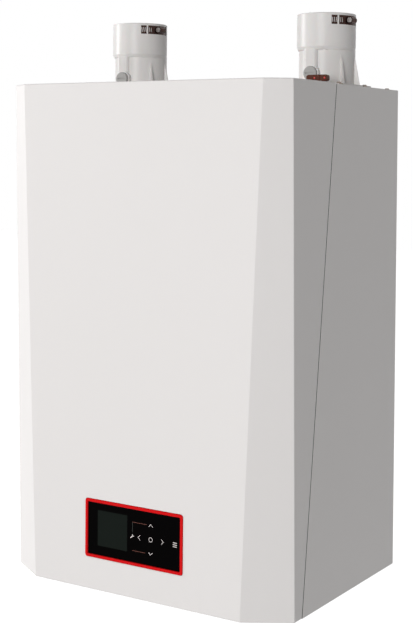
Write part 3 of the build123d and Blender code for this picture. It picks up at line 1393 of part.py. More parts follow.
# -------------------------------------------------------- plate heat exchanger
plate_right = cold_x + port_inset
plate_left = plate_right - plate_width
left_port_x = plate_left + port_inset
plate_pitch = (plate_depth - end_plates) / plate_count
with BuildPart() as plate_exchanger:
    ports = [(x, z) for x in (left_port_x, cold_x) for z in (lower_port_z, upper_port_z)]
    plate_middle = ((plate_left + plate_right) / 2, plate_low + plate_height / 2)
    face_plane = Plane(origin=(0, -plate_from_wall, 0), x_dir=(1, 0, 0), z_dir=(0, -1, 0))
    with BuildSketch(face_plane):
        with Locations(plate_middle):
            RectangleRounded(plate_width - bearing_bar, plate_height - bearing_bar,
                             plate_corner - bearing_bar / 2)
    extrude(amount=plate_depth)
    for layer in range(0, plate_count + 1, 2):
        with BuildSketch(face_plane.offset(layer * plate_pitch)):
            with Locations(plate_middle):
                RectangleRounded(plate_width, plate_height, plate_corner)
        extrude(amount=plate_pitch)
    for x, z in ports:
        bar_y(x, z, port_end, plate_front, pipe_radius + boss_wall / 2)
    for x, z in ports:
        bar_y(x, z, port_end - 1, plate_front + plate_depth / 3, pipe_radius - pipe_wall, Mode.SUBTRACT)
pieces["plate_exchanger"] = plate_exchanger

crossing_y = branch_end - pipe_bend - stub_straight
with BuildPart() as plate_pipes:
    tube_run(
        [(side_port_x, tail_y, upper_port_z), (left_port_x, tail_y, upper_port_z),
         (left_port_x, port_end, upper_port_z)],
        pipe_bend, pipe_radius, pipe_wall,
    )
    tube_run(
        [(left_port_x, port_end, lower_port_z), (left_port_x, crossing_y, lower_port_z),
         (return_x, crossing_y, branch_z), (return_x, branch_end, branch_z)],
        pipe_bend, pipe_radius, pipe_wall,
    )
pieces["plate_pipes"] = plate_pipes

turbine_house_top = collar_top + turbine_house_height
bar_rise = collar_height
with BuildPart() as cold_water_pipe:
    tail("cold", pipe_radius - pipe_wall)
    column(cold_x, tail_y, collar_top, turbine_house_top, turbine_radius + 2 * bearing_bar)
    column(cold_x, tail_y, collar_top + bearing_bar, turbine_house_top - bearing_bar,
           turbine_radius + bearing_bar,
           Mode.SUBTRACT)
    column(cold_x, tail_y, floor_top, turbine_house_top + 1, pipe_radius - pipe_wall, Mode.SUBTRACT)
    for level in (collar_top + bar_rise, turbine_house_top - bar_rise - bearing_bar):
        block((cold_x - turbine_radius - boss_wall, cold_x + turbine_radius + boss_wall),
              (tail_y - bearing_bar, tail_y + bearing_bar), (level, level + bearing_bar))
        column(cold_x, tail_y, level - 1, level + bearing_bar + 1, turbine_pin + running_clearance,
               Mode.SUBTRACT)
    tube_run(
        [(cold_x, tail_y, turbine_house_top - 1), (cold_x, tail_y, lower_port_z),
         (cold_x, port_end, lower_port_z)],
        pipe_bend, pipe_radius, pipe_wall,
    )
pieces["cold_water_pipe"] = cold_water_pipe

with BuildPart() as flow_turbine:
    middle_z = (collar_top + turbine_house_top) / 2
    column(cold_x, tail_y, collar_top + bar_rise - 1, turbine_house_top - bar_rise + 1, turbine_pin)
    column(cold_x, tail_y, middle_z - turbine_length / 2, middle_z + turbine_length / 2, 2 * turbine_pin)
    with BuildSketch(Plane.XY.offset(middle_z - turbine_length / 2)) as vanes:
        with Locations((cold_x, tail_y)):
            with PolarLocations(turbine_radius / 2, vane_count):
                Rectangle(turbine_radius, pipe_wall)
    extrude(vanes.sketch, amount=turbine_length)
pieces["flow_turbine"] = flow_turbine

with BuildPart() as hot_water_pipe:
    tail("hot", pipe_radius - pipe_wall)
    tube_run(
        [(cold_x, port_end, upper_port_z), (cold_x, tail_y, upper_port_z), (hot_x, tail_y, upper_port_z),
         (hot_x, tail_y, collar_top - 1)],
        pipe_bend, pipe_radius, pipe_wall,
    )
pieces["hot_water_pipe"] = hot_water_pipe

# ----------------------------------------------------------------------- write
for name, piece in pieces.items():
    piece.part.label = name
    export_step(piece.part, f"parts/{name}.step")
print(len(pieces), "pieces")
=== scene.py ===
import json
import logging
import math
from dataclasses import dataclass, field
from enum import Enum
from typing import Any, Optional, Sequence, Union

import bpy
import numpy as np
from mathutils import Matrix, Vector


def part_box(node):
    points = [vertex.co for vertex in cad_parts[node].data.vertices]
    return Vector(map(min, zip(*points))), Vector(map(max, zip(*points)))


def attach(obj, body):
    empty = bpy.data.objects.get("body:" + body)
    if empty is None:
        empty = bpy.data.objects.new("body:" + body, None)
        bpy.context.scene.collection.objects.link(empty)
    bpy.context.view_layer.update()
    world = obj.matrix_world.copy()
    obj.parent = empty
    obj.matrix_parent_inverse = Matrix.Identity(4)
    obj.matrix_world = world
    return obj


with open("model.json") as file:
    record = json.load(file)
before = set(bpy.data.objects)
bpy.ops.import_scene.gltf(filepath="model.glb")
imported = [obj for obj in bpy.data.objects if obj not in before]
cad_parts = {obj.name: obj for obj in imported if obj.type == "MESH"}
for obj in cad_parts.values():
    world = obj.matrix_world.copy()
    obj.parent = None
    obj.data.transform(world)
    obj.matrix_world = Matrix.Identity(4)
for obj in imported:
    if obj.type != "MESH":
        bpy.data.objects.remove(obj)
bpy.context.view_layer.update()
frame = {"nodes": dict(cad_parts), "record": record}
MM = 0.001
NO_STRETCH = (1, 1, 1)
UNLIT = (0, 0, 0)
# A Mix node's sockets for a share and two colours; they go by number, because several share a name.
MIX_SHARE, MIX_FIRST, MIX_SECOND, MIX_RESULT = 0, 6, 7, 2
Colour = tuple[float, float, float]
Triple = tuple[float, float, float]
Pair = tuple[float, float]
Number = Union[float, "Value"]
Surface = tuple[np.ndarray, np.ndarray]
log = logging.getLogger("boiler")


# ------------------------------------------------------------------ shader kit
class Value:
    """A shader output that takes part in ordinary sums, differences and products."""

    def __init__(self, recipe: "Recipe", socket: bpy.types.NodeSocket) -> None:
        """Keeps the recipe that the socket belongs to, and the socket."""
        self.recipe = recipe
        self.socket = socket

    def _math(self, operation: str, *operands: Number) -> "Value":
        """Adds one Math node that joins its operands."""
        return self.recipe.make("ShaderNodeMath", {"operation": operation}, dict(enumerate(operands)))

    def __add__(self, other: Number) -> "Value":
        """Sum."""
        return self._math("ADD", self, other)

    def __sub__(self, other: Number) -> "Value":
        """Difference."""
        return self._math("SUBTRACT", self, other)

    def __rsub__(self, other: Number) -> "Value":
        """Difference with a number in front."""
        return self._math("SUBTRACT", other, self)

    def __mul__(self, other: Number) -> "Value":
        """Product."""
        return self._math("MULTIPLY", self, other)

    def above(self, edge: float) -> "Value":
        """One where the value is over an edge, else nought."""
        return self._math("GREATER_THAN", self, edge)

    def between(self, low: float, high: float) -> "Value":
        """One where the value lies between two edges, else nought."""
        return self._math("COMPARE", self, (low + high) / 2, (high - low) / 2)

    __radd__ = __add__
    __rmul__ = __mul__


@dataclass(frozen=True)
class Grit:
    """Soft noise from 0 to 1.

    It has so many grains to a metre, a detail in octaves and their roughness, and stretches each axis.
    """

    scale: float
    detail: float
    rough: float = 0.5
    stretch: Triple = NO_STRETCH


class Recipe:
    """One material in the making: its nodes, its links and its closing shader."""

    def __init__(self, name: str) -> None:
        """Starts a material that has one Principled shader."""
        self.material = bpy.data.materials.new(name)
        self.material.use_nodes = True
        self.tree = self.material.node_tree
        self.shader = self.tree.nodes["Principled BSDF"]

    def make(
        self,
        kind: str,
        settings: Optional[dict[str, Any]] = None,
        sockets: Optional[dict[Union[int, str], Any]] = None,
        out: Union[int, str] = 0,
    ) -> Value:
        """Makes any node.

        Args:
            kind: the node's type.
            settings: attributes set first; "stops" holds a ramp's places and greys.
            sockets: values or links for the node's inputs.
            out: which output is wanted.

        Returns:
            The chosen output as a Value.
        """
        node = self.tree.nodes.new(kind)
        for name, value in (settings or {}).items():
            if name == "stops":
                for element, (place, grey) in zip(node.color_ramp.elements, value):
                    element.position = place
                    element.color = (grey, grey, grey, 1)
            else:
                setattr(node, name, value)
        for name, value in (sockets or {}).items():
            self.feed(node.inputs[name], value)
        return Value(self, node.outputs[out])

    def feed(self, socket: bpy.types.NodeSocket, value: Any) -> None:
        """Links a Value to a socket, or sets the socket to a number or colour."""
        if isinstance(value, Value):
            self.tree.links.new(value.socket, socket)
        elif isinstance(value, tuple) and len(value) == 3 and socket.type == "RGBA":
            socket.default_value = (*value, 1)
        else:
            socket.default_value = value

    def set(self, **inputs: Any) -> None:
        """Feeds the closing shader; an input's name has low lines for its spaces."""
        for name, value in inputs.items():
            self.feed(self.shader.inputs[name.replace("_", " ")], value)

    def place(self, stretch: Triple = NO_STRETCH) -> Value:
        """Object coordinates, stretched along each axis."""
        point = self.make("ShaderNodeTexCoord", out="Object")
        if stretch == NO_STRETCH:
            return point
        return self.make("ShaderNodeVectorMath", {"operation": "MULTIPLY"}, {0: point, 1: stretch})

    def along(self, direction: Triple) -> Value:
        """How far each place lies along a direction: the product of the two as vectors, in metres."""
        sockets = {0: self.place(), 1: direction}
        return self.make("ShaderNodeVectorMath", {"operation": "DOT_PRODUCT"}, sockets, "Value")

    def noise(self, grit: Grit) -> Value:
        """Noise of one grit."""
        sockets = {
            "Vector": self.place(grit.stretch),
            "Scale": grit.scale,
            "Detail": grit.detail,
            "Roughness": grit.rough,
        }
        return self.make("ShaderNodeTexNoise", None, sockets)

    def ramp(self, value: Value, edges: Pair) -> Value:
        """Goes from nought to one while a value goes from the lower to the upper edge."""
        low, high = edges
        return self.make("ShaderNodeValToRGB", {"stops": [(low, 0.0), (high, 1.0)]}, {"Fac": value})

    def blend(self, share: Number, first: Union[Colour, Value], second: Union[Colour, Value]) -> Value:
        """Colour between two colours by a share."""
        sockets = {MIX_SHARE: share, MIX_FIRST: first, MIX_SECOND: second}
        return self.make("ShaderNodeMix", {"data_type": "RGBA"}, sockets, MIX_RESULT)

    def relief(self, height: Value, depth: float) -> Value:
        """Normal of a surface whose height varies by a depth in metres."""
        return self.make("ShaderNodeBump", None, {"Height": height, "Strength": 1.0, "Distance": depth})


# -------------------------------------------------------------------- finishes
# In every finish a depth is in metres, and a share says how much of a pattern shows.
@dataclass(frozen=True)
class Finish:
    """What every finish has: its name, its colour and how dull it is."""

    name: str
    colour: Colour
    roughness: float = 0.4

    def material(self) -> bpy.types.Material:
        """The finish as a material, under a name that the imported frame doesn't use.

        Returns:
            The material, made at the first call and looked up after that.
        """
        known = bpy.data.materials.get(f"{self.name}_finish")
        if known is not None:
            return known
        recipe = Recipe(f"{self.name}_finish")
        self.dress(recipe)
        return recipe.material

    def dress(self, recipe: Recipe) -> None:
        """Fills the recipe; each kind of finish has its own way."""
        raise NotImplementedError


@dataclass(frozen=True)
class PowderCoat(Finish):
    """Baked enamel: orange peel, dust in its roughness, and faint clouds of a warmer tint."""

    peel: float = 0.00006
    swell: Grit = Grit(330, 2)
    ripple: Grit = Grit(1100, 1)
    ripple_share: float = 0.35
    dust: Grit = Grit(40, 4, 0.6)
    dust_share: float = 0.10
    clouds: Grit = Grit(3.2, 2)
    cloud_share: float = 0.22
    tint: Colour = (0.80, 0.78, 0.76)
    lacquer: float = 0.5
    lacquer_roughness: float = 0.5

    def dress(self, recipe: Recipe) -> None:
        """Orange peel is noise of 3 mm and 1 mm; dust lies in patches of 25 mm."""
        peel = recipe.noise(self.swell) + recipe.noise(self.ripple) * self.ripple_share
        dust = recipe.noise(self.dust)
        recipe.set(
            Base_Color=self.shade(recipe),
            Roughness=dust * self.dust_share + (self.roughness - self.dust_share / 2),
            Normal=recipe.relief(peel, self.peel),
            Coat_Weight=self.lacquer,
            Coat_Roughness=self.lacquer_roughness,
        )

    def shade(self, recipe: Recipe) -> Value:
        """The coat's colour, warmer by a hair in clouds of 0.3 m."""
        return recipe.blend(recipe.noise(self.clouds) * self.cloud_share, self.colour, self.tint)


@dataclass(frozen=True)
class RimmedCoat(PowderCoat):
    """Baked enamel of a side panel, whose rim in the cover's seam is painted dark for the shade there.

    The rim lies in the plane y = slope * z + start, in metres, and the painted shade covers it within
    reach of that plane and farther than outside from the boiler's middle.
    """

    slope: float = 0.12
    start: float = -0.2411885
    reach: float = 0.00025
    outside: float = 0.26
    # Painted shade: the dark colour given to the rim where the cover's return shades the seam.
    seam_shade: Colour = (0.05, 0.046, 0.043)

    def shade(self, recipe: Recipe) -> Value:
        """The coat's colour, and painted shade on the rim in the seam."""
        across = recipe.along((1, 0, 0))
        behind = recipe.along((0, 1, -self.slope))
        # Mask of the painted shade: the rim in the seam's plane, at the panel's outer edge.
        rim = 1 - behind.above(self.start + self.reach)
        shaded_rim = rim * (across * across).above(self.outside ** 2)
        return recipe.blend(shaded_rim, super().shade(recipe), self.seam_shade)


@dataclass(frozen=True)
class Moulded(Finish):
    """Moulded plastic: fine spark texture, flow marks and rubbed high spots."""

    grain: float = 0.00003
    rub: float = 0.08
    softness: float = 0.0
    shine: float = 0.4
    flow: Grit = Grit(14, 3, 0.6, (1, 1, 0.35))
    flow_share: float = 0.5
    sparks: Grit = Grit(1900, 1)
    pits: Grit = Grit(500, 2)
    pit_share: float = 0.6
    paling: float = 1.12
    milk: float = 0.01
    light_depth: float = 0.003

    def dress(self, recipe: Recipe) -> None:
        """Grain of half a millimetre over flow marks that are drawn out along Z."""
        flow = recipe.noise(self.flow)
        grain = recipe.noise(self.sparks) + recipe.noise(self.pits) * self.pit_share
        pale = tuple(min(1.0, c * self.paling + self.milk) for c in self.colour)
        recipe.set(
            Base_Color=recipe.blend(flow * self.flow_share, self.colour, pale),
            Roughness=flow * self.rub + (self.roughness - self.rub / 2),
            Normal=recipe.relief(grain, self.grain),
            Subsurface_Weight=self.softness,
            Subsurface_Scale=self.light_depth,
            Specular_IOR_Level=self.shine,
        )


@dataclass(frozen=True)
class Galvanised(Finish):
    """Zinc-coated sheet: spangles of a centimetre, each with its own grey."""

    spangle: float = 85.0
    spangle_share: float = 0.8
    spangle_roughness: float = 0.18
    darkest: float = 0.72
    drift: float = 60.0
    wobble: float = 0.01
    bloom: Grit = Grit(400, 2)
    bloom_share: float = 0.1
    skin: Grit = Grit(700, 2)
    skin_depth: float = 0.00002

    def dress(self, recipe: Recipe) -> None:
        """Cells with wavy borders give the spangles, and fine noise the dull bloom over them."""
        slow = {"Vector": recipe.place(), "Scale": self.drift}
        drift = recipe.make("ShaderNodeTexNoise", None, slow, "Color")
        wavy = {0: drift, 1: (self.wobble,) * 3, 2: recipe.place()}
        spots = recipe.make("ShaderNodeVectorMath", {"operation": "MULTIPLY_ADD"}, wavy)
        cells = {"Vector": spots, "Scale": self.spangle}
        cell = recipe.make("ShaderNodeTexVoronoi", None, cells, "Color")
        grey = recipe.make("ShaderNodeRGBToBW", None, {"Color": cell})
        bloom = recipe.noise(self.bloom) * self.bloom_share
        dark = tuple(c * self.darkest for c in self.colour)
        recipe.set(
            Base_Color=recipe.blend(grey * self.spangle_share, self.colour, dark),
            Metallic=1.0,
            Roughness=grey * self.spangle_roughness + bloom + (self.roughness - self.bloom_share),
            Normal=recipe.relief(recipe.noise(self.skin), self.skin_depth),
        )


class Grain(Enum):
    """Which way a brushed metal was brushed."""

    ALONG_X = (0.03, 1.0, 1.0)
    ALONG_Z = (1.0, 1.0, 0.03)
    NONE = NO_STRETCH


@dataclass(frozen=True)
class BareMetal(Finish):
    """Bare metal: brushed or cast, with tarnish that gathers in patches."""

    grain: Grain = Grain.NONE
    tarnish: Colour = (0.3, 0.28, 0.25)
    tarnished: float = 0.3
    pitting: float = 0.00003
    pit_scale: float = 900.0
    pit_detail: float = 2.0
    pit_rough: float = 0.6
    pit_share: float = 0.16
    patches: Grit = Grit(22, 4, 0.65)
    patch_edges: Pair = (0.42, 0.68)
    patch_share: float = 0.1

    def dress(self, recipe: Recipe) -> None:
        """Tarnish follows slow noise; the brushing is noise stretched along the grain."""
        patch = recipe.ramp(recipe.noise(self.patches), self.patch_edges)
        pits = Grit(self.pit_scale, self.pit_detail, self.pit_rough, self.grain.value)
        marks = recipe.noise(pits)
        dullness = marks * self.pit_share + patch * self.patch_share
        recipe.set(
            Base_Color=recipe.blend(patch * self.tarnished, self.colour, self.tarnish),
            Metallic=1.0,
            Roughness=dullness + (self.roughness - self.patch_share),
            Normal=recipe.relief(marks, self.pitting),
        )


@dataclass(frozen=True)
class DarkGlass(Finish):
    """Gloss black panel: faint smears where fingers have been, and a greyer window over the screen.

    The window is its left and right edges and its lower and upper edges, in metres.
    """

    lit: Colour = (0.0103, 0.0137, 0.0116)
    window: Optional[tuple[Pair, Pair]] = None
    smears: Grit = Grit(34, 4, 0.7, (1, 1, 0.5))
    smear_edges: Pair = (0.48, 0.75)
    smear_share: float = 0.09
    waves: Grit = Grit(18, 1)
    wave_depth: float = 0.00002
    shine: float = 0.01

    def dress(self, recipe: Recipe) -> None:
        """Smears are stretched noise in the roughness alone; slow waves bend the reflections."""
        smear = recipe.ramp(recipe.noise(self.smears), self.smear_edges)
        base: Union[Colour, Value] = self.colour
        if self.window:
            sides, levels = self.window
            inside = recipe.along((1, 0, 0)).between(*sides) * recipe.along((0, 0, 1)).between(*levels)
            base = recipe.blend(inside, self.colour, self.lit)
        recipe.set(
            Base_Color=base,
            Roughness=smear * self.smear_share + self.roughness,
            Normal=recipe.relief(recipe.noise(self.waves), self.wave_depth),
            Specular_IOR_Level=self.shine,
        )


@dataclass(frozen=True)
class Rubber(Finish):
    """Soft black rubber with a bloom of dust."""

    dusty: float = 0.3
    shine: float = 0.3
    dust: Grit = Grit(120, 4, 0.7)
    dust_edges: Pair = (0.5, 0.8)
    dust_colour: Colour = (0.16, 0.15, 0.14)
    dust_roughness: float = 0.1
    skin: Grit = Grit(800, 2)
    skin_depth: float = 0.00004

    def dress(self, recipe: Recipe) -> None:
        """Dust lies where slow noise is high."""
        dust = recipe.ramp(recipe.noise(self.dust), self.dust_edges)
        recipe.set(
            Base_Color=recipe.blend(dust * self.dusty, self.colour, self.dust_colour),
            Roughness=dust * self.dust_roughness + self.roughness,
            Normal=recipe.relief(recipe.noise(self.skin), self.skin_depth),
            Specular_IOR_Level=self.shine,
        )


@dataclass(frozen=True)
class CircuitBoard(Finish):
    """Green board with copper runs under its varnish."""

    cells: float = 210.0
    border: float = 0.62
    run_colour: Colour = (0.10, 0.34, 0.12)
    run_share: float = 0.6
    run_roughness: float = 0.1
    run_depth: float = 0.00005

    def dress(self, recipe: Recipe) -> None:
        """Runs are the borders between square cells."""
        cell = recipe.make(
            "ShaderNodeTexVoronoi", {"distance": "MANHATTAN", "feature": "F1"},
            {"Vector": recipe.place(), "Scale": self.cells}, "Distance",
        )
        run = cell.above(self.border)
        recipe.set(
            Base_Color=recipe.blend(run * self.run_share, self.colour, self.run_colour),
            Roughness=run * self.run_roughness + self.roughness,
            Normal=recipe.relief(run, self.run_depth),
        )


@dataclass(frozen=True)
class Glow(Finish):
    """Mark lit from behind through the panel."""

    strength: float = 0.6
    unevenness: Grit = Grit(60, 1)
    unevenness_share: float = 0.3

    def dress(self, recipe: Recipe) -> None:
        """Light falls off a little from one mark to the next."""
        level = recipe.noise(self.unevenness) * self.unevenness_share + (1 - self.unevenness_share / 2)
        light = recipe.blend(level, UNLIT, self.colour)
        recipe.set(
            Base_Color=light,
            Emission_Color=light,
            Emission_Strength=self.strength,
            Roughness=self.roughness,
        )


ENAMEL = PowderCoat("casing_enamel", (0.84, 0.812, 0.800), 0.52)
SIDE_ENAMEL = RimmedCoat("side_enamel", (0.84, 0.812, 0.800), 0.52)
PANEL_ENAMEL = PowderCoat("panel_enamel", (0.76, 0.738, 0.726), 0.52)
GALVANISED = Galvanised("galvanised_sheet", (0.58, 0.60, 0.62), 0.42)
STAINLESS = BareMetal(
    "stainless_sheet", (0.58, 0.57, 0.56), 0.32, Grain.ALONG_X,
    tarnish=(0.40, 0.35, 0.30), tarnished=0.25,
)
# Painted shade: the clamp band is near black, far darker than steel, for the shade of the recess in the
# adaptor's rim that it runs through.
SHADED_BAND_STEEL = BareMetal(
    "band_steel_painted_shade", (0.055, 0.035, 0.030), 0.34, Grain.ALONG_Z,
    tarnish=(0.035, 0.010, 0.007), tarnished=0.8,
)
BRIGHT_SCREW = BareMetal(
    "bright_screw", (0.50, 0.49, 0.48), 0.34, tarnish=(0.16, 0.12, 0.10), tarnished=0.5
)
ZINC = BareMetal("zinc_plating", (0.26, 0.22, 0.19), 0.36, tarnish=(0.13, 0.08, 0.055), tarnished=0.6)
CAST = BareMetal(
    "cast_aluminium", (0.55, 0.55, 0.56), 0.5,
    tarnish=(0.36, 0.35, 0.34), tarnished=0.35, pitting=0.00012, pit_scale=520,
)
GREY_CAST = Moulded("painted_casting", (0.22, 0.23, 0.24), 0.5, grain=0.00008)
COPPER = BareMetal("copper_pipe", (0.78, 0.40, 0.26), 0.26, tarnish=(0.34, 0.17, 0.10), tarnished=0.55)
BRASS = BareMetal(
    "brass_forging", (0.76, 0.58, 0.30), 0.38,
    tarnish=(0.40, 0.28, 0.13), tarnished=0.4, pitting=0.00008, pit_scale=600,
)
RED = Moulded("red_bezel", (0.72, 0.004, 0.006), 0.2, grain=0.00001, rub=0.05, shine=0.05)
BLACK = DarkGlass(
    "panel_glass", (0.0012, 0.0009, 0.001), 0.07, window=((-0.0688, -0.0121), (-0.6388, -0.5828))
)
SCREEN = DarkGlass("screen_glass", (0.0105, 0.0135, 0.0118), 0.16)
WHITE_PLASTIC = Moulded(
    "adaptor_plastic", (0.79, 0.767, 0.75), 0.3, grain=0.00001, rub=0.06, softness=0.05, shine=0.22
)
DUCT_PLASTIC = Moulded("duct_plastic", (0.66, 0.65, 0.63), 0.45)
GREY_PLASTIC = Moulded("grey_plastic", (0.17, 0.17, 0.18), 0.45)
CAP_GREY = Moulded("cap_grey", (0.40, 0.392, 0.38), 0.5)
DARK_PLASTIC = Moulded("dark_plastic", (0.022, 0.022, 0.024), 0.45)
SENSOR_BROWN = Moulded("sensor_brown", (0.105, 0.036, 0.024), 0.34, shine=0.08)
SENSOR_RED = Moulded("sensor_contact", (0.75, 0.07, 0.06), 0.35)
CERAMIC = Moulded("ceramic_body", (0.78, 0.74, 0.66), 0.25, grain=0.00002)
SEAL = Rubber("seal_rubber", (0.018, 0.018, 0.018), 0.7)
GASKET = Rubber("gasket_rubber", (0.003, 0.003, 0.003), 0.8, dusty=0.03, shine=0.02)
BOARD = CircuitBoard("circuit_board", (0.012, 0.115, 0.045), 0.3)
ICON = Glow("icon_light", (0.60, 0.555, 0.54), 0.5, strength=0.5)
FAINT = Glow("faint_line", (0.13, 0.035, 0.02), 0.5, strength=0.3)
DIM = Glow("dim_line", (0.010, 0.016, 0.013), 0.6, strength=0.3)


# ------------------------------------------------------------------ mesh tools
MITRE_LIMIT = 2.0


def piece(
    name: str,
    points: np.ndarray,
    faces: np.ndarray,
    finish: Finish,
    body: str,
    slot: str,
    bend: float = 35.0,
) -> None:
    """Puts arrays into a smooth mesh object at the origin that rides on a body.

    Args:
        name: the object's name.
        points: corners in metres, one row each.
        faces: four corner numbers for each face.
        finish: what it is dressed in.
        body: the CAD body that it rides on.
        slot: the record's material slot; not used.
        bend: edges that turn by more degrees than this stay sharp.
    """
    mesh = bpy.data.meshes.new(name)
    mesh.from_pydata(points.tolist(), [], faces.tolist())
    mesh.validate()
    mesh.update()
    mesh.materials.append(finish.material())
    mesh.polygons.foreach_set("use_smooth", np.ones(len(mesh.polygons), bool))
    mesh.set_sharp_from_angle(angle=math.radians(bend))
    thing = bpy.data.objects.new(name, mesh)
    bpy.context.scene.collection.objects.link(thing)
    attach(thing, body)
    log.info("%s: %d faces", name, len(mesh.polygons))


def grid_faces(rows: int, columns: int, wrap_rows: bool) -> np.ndarray:
    """Quads of a grid of points, row by row, whose columns are closed on themselves.

    Args:
        rows: how many rows the grid has.
        columns: how many points a row has; the last joins the first.
        wrap_rows: whether the last row joins the first too.

    Returns:
        Four corner numbers for each face.
    """
    first_rows = np.arange(rows if wrap_rows else rows - 1)
    row, column = np.meshgrid(first_rows, np.arange(columns), indexing="ij")
    next_row, next_column = (row + 1) % rows, (column + 1) % columns
    corners = [(row, column), (row, next_column), (next_row, next_column), (next_row, column)]
    return np.stack([r * columns + c for r, c in corners], -1).reshape(-1, 4)


def turned(profile: Sequence[Pair], centre: Sequence[float], axis: Triple, steps: int) -> Surface:
    """Closed surface of revolution about an axis that isn't upright.

    A point of the profile at radius r and height h goes to
    centre + h * axis + r * (cos t * u + sin t * v), for t once round,
    where u is level and square to the axis, and v is square to both.

    Args:
        profile: closed loop of (radius, height) in millimetres.
        centre: where height and radius are nought, in millimetres.
        axis: direction of the axis, of length one.
        steps: points round the axis.

    Returns:
        Points in metres, and faces.
    """
    a = np.asarray(axis, float)
    u = np.cross((0.0, 0.0, 1.0), a)
    u /= np.linalg.norm(u)
    v = np.cross(a, u)
    loop = np.asarray(profile, float)
    t = np.linspace(0, 2 * np.pi, steps, endpoint=False)
    ring = np.cos(t)[:, None] * u + np.sin(t)[:, None] * v
    radius, height = loop[None, :, 0, None], loop[None, :, 1, None]
    grid = radius * ring[:, None, :] + height * a + np.asarray(centre, float)
    return grid.reshape(-1, 3) * MM, grid_faces(steps, len(loop), True)


def ribbon(path: np.ndarray, width: float, thickness: float, closed: bool) -> Surface:
    """Flat strip carried along a path in the XZ plane, mitred at its corners.

    At each point the side direction is the mean of its neighbours' normals, lengthened by
    one over the cosine of half the turn, up to MITRE_LIMIT times; the four corners are the point
    plus or minus half the width along it, at the path's depth and a thickness nearer the room.

    Args:
        path: points (x, y, z) in millimetres.
        width: the strip's width.
        thickness: how far it stands towards -Y.
        closed: whether the last point joins the first.

    Returns:
        Points in metres, and faces.
    """
    ahead = np.roll(path, -1, 0) - path
    behind = path - np.roll(path, 1, 0)
    if not closed:
        ahead[-1], behind[0] = behind[-1], ahead[0]
    normals = [
        np.stack([-step[:, 2], step[:, 2] * 0, step[:, 0]], -1) / np.linalg.norm(step, axis=1)[:, None]
        for step in (ahead, behind)
    ]
    mean = normals[0] + normals[1]
    mean /= np.linalg.norm(mean, axis=1)[:, None]
    cosine = np.clip((mean * normals[0]).sum(1), 1 / MITRE_LIMIT, 1)[:, None]
    side = mean / cosine * width / 2
    out = np.array([0, -thickness, 0])
    grid = np.stack([path - side, path + side, path + side + out, path - side + out], 1)
    corners = grid.shape[1]
    faces = grid_faces(len(path), corners, closed)
    if not closed:
        last = corners * (len(path) - 1)
        faces = np.vstack([faces, [[0, 3, 2, 1], [last, last + 1, last + 2, last + 3]]])
    return grid.reshape(-1, 3) * MM, faces


def joined(*parts: Surface) -> Surface:
    """Several point and face arrays as one."""
    starts = np.cumsum([0] + [len(p) for p, _ in parts[:-1]])
    return np.vstack([p for p, _ in parts]), np.vstack([f + s for (_, f), s in zip(parts, starts)])


# ------------------------------------------------------------- the CAD's nodes
@dataclass(frozen=True)
class NodeGroup:
    """CAD nodes that belong together, each with the finish that it wears."""

    name: str
    finishes: dict[str, Finish]

    def build(self) -> None:
        """Dresses each node's own mesh."""
        for node, finish in self.finishes.items():
            materials = frame["nodes"][node].data.materials
            materials.clear()
            materials.append(finish.material())
            log.info("%s, %s: %s", self.name, node, finish.name)


NODE_GROUPS = (
    NodeGroup("casing", {
        "front_cover": ENAMEL,
        "left_side_panel": SIDE_ENAMEL,
        "right_side_panel": SIDE_ENAMEL,
        "top_panel": PANEL_ENAMEL,
        "bottom_panel": PANEL_ENAMEL,
        "back_panel": GALVANISED,
        "wall_bracket": GALVANISED,
        "hanging_rail": GALVANISED,
        "casing_screws": ZINC,
        "left_cover_latch": DARK_PLASTIC,
        "right_cover_latch": DARK_PLASTIC,
        "cover_gasket": GASKET,
    }),
    NodeGroup("controls", {
        "display_bezel": RED,
        "display_glass": BLACK,
        "display_screen": SCREEN,
        "control_box": GREY_PLASTIC,
        "control_board": BOARD,
        "power_switch_housing": DARK_PLASTIC,
        "power_rocker": DARK_PLASTIC,
        "cable_glands": DARK_PLASTIC,
    }),
    NodeGroup("vents", {
        "vent_seals": SEAL,
        "exhaust_adaptor": WHITE_PLASTIC,
        "intake_adaptor": WHITE_PLASTIC,
        "exhaust_clamp": SHADED_BAND_STEEL,
        "intake_clamp": SHADED_BAND_STEEL,
        "exhaust_clamp_screw": BRIGHT_SCREW,
        "intake_clamp_screw": BRIGHT_SCREW,
        "exhaust_test_cap": CAP_GREY,
        "intake_test_cap": CAP_GREY,
        "flue_sensor": SENSOR_BROWN,
    }),
    NodeGroup("combustion", {
        "exchanger_shell": STAINLESS,
        "exchanger_coil": STAINLESS,
        "burner_tube": STAINLESS,
        "burner_door": CAST,
        "door_nuts": ZINC,
        "igniter": CERAMIC,
        "fan_housing": CAST,
        "fan_rotor": DARK_PLASTIC,
        "fan_motor": DARK_PLASTIC,
        "venturi": CAST,
        "air_duct": GREY_PLASTIC,
        "gas_valve": CAST,
        "gas_plunger": STAINLESS,
        "gas_pipe": COPPER,
        "condensate_sump": GREY_PLASTIC,
        "flue_riser": DUCT_PLASTIC,
        "condensate_trap": DARK_PLASTIC,
    }),
    NodeGroup("water", {
        "pump_body": BRASS,
        "pump_impeller": DARK_PLASTIC,
        "pump_motor": GREY_CAST,
        "return_pipe": COPPER,
        "diverter_body": BRASS,
        "diverter_spindle": STAINLESS,
        "diverter_motor": DARK_PLASTIC,
        "supply_pipe": COPPER,
        "plate_exchanger": STAINLESS,
        "plate_pipes": COPPER,
        "cold_water_pipe": COPPER,
        "flow_turbine": DUCT_PLASTIC,
        "hot_water_pipe": COPPER,
    }),
)


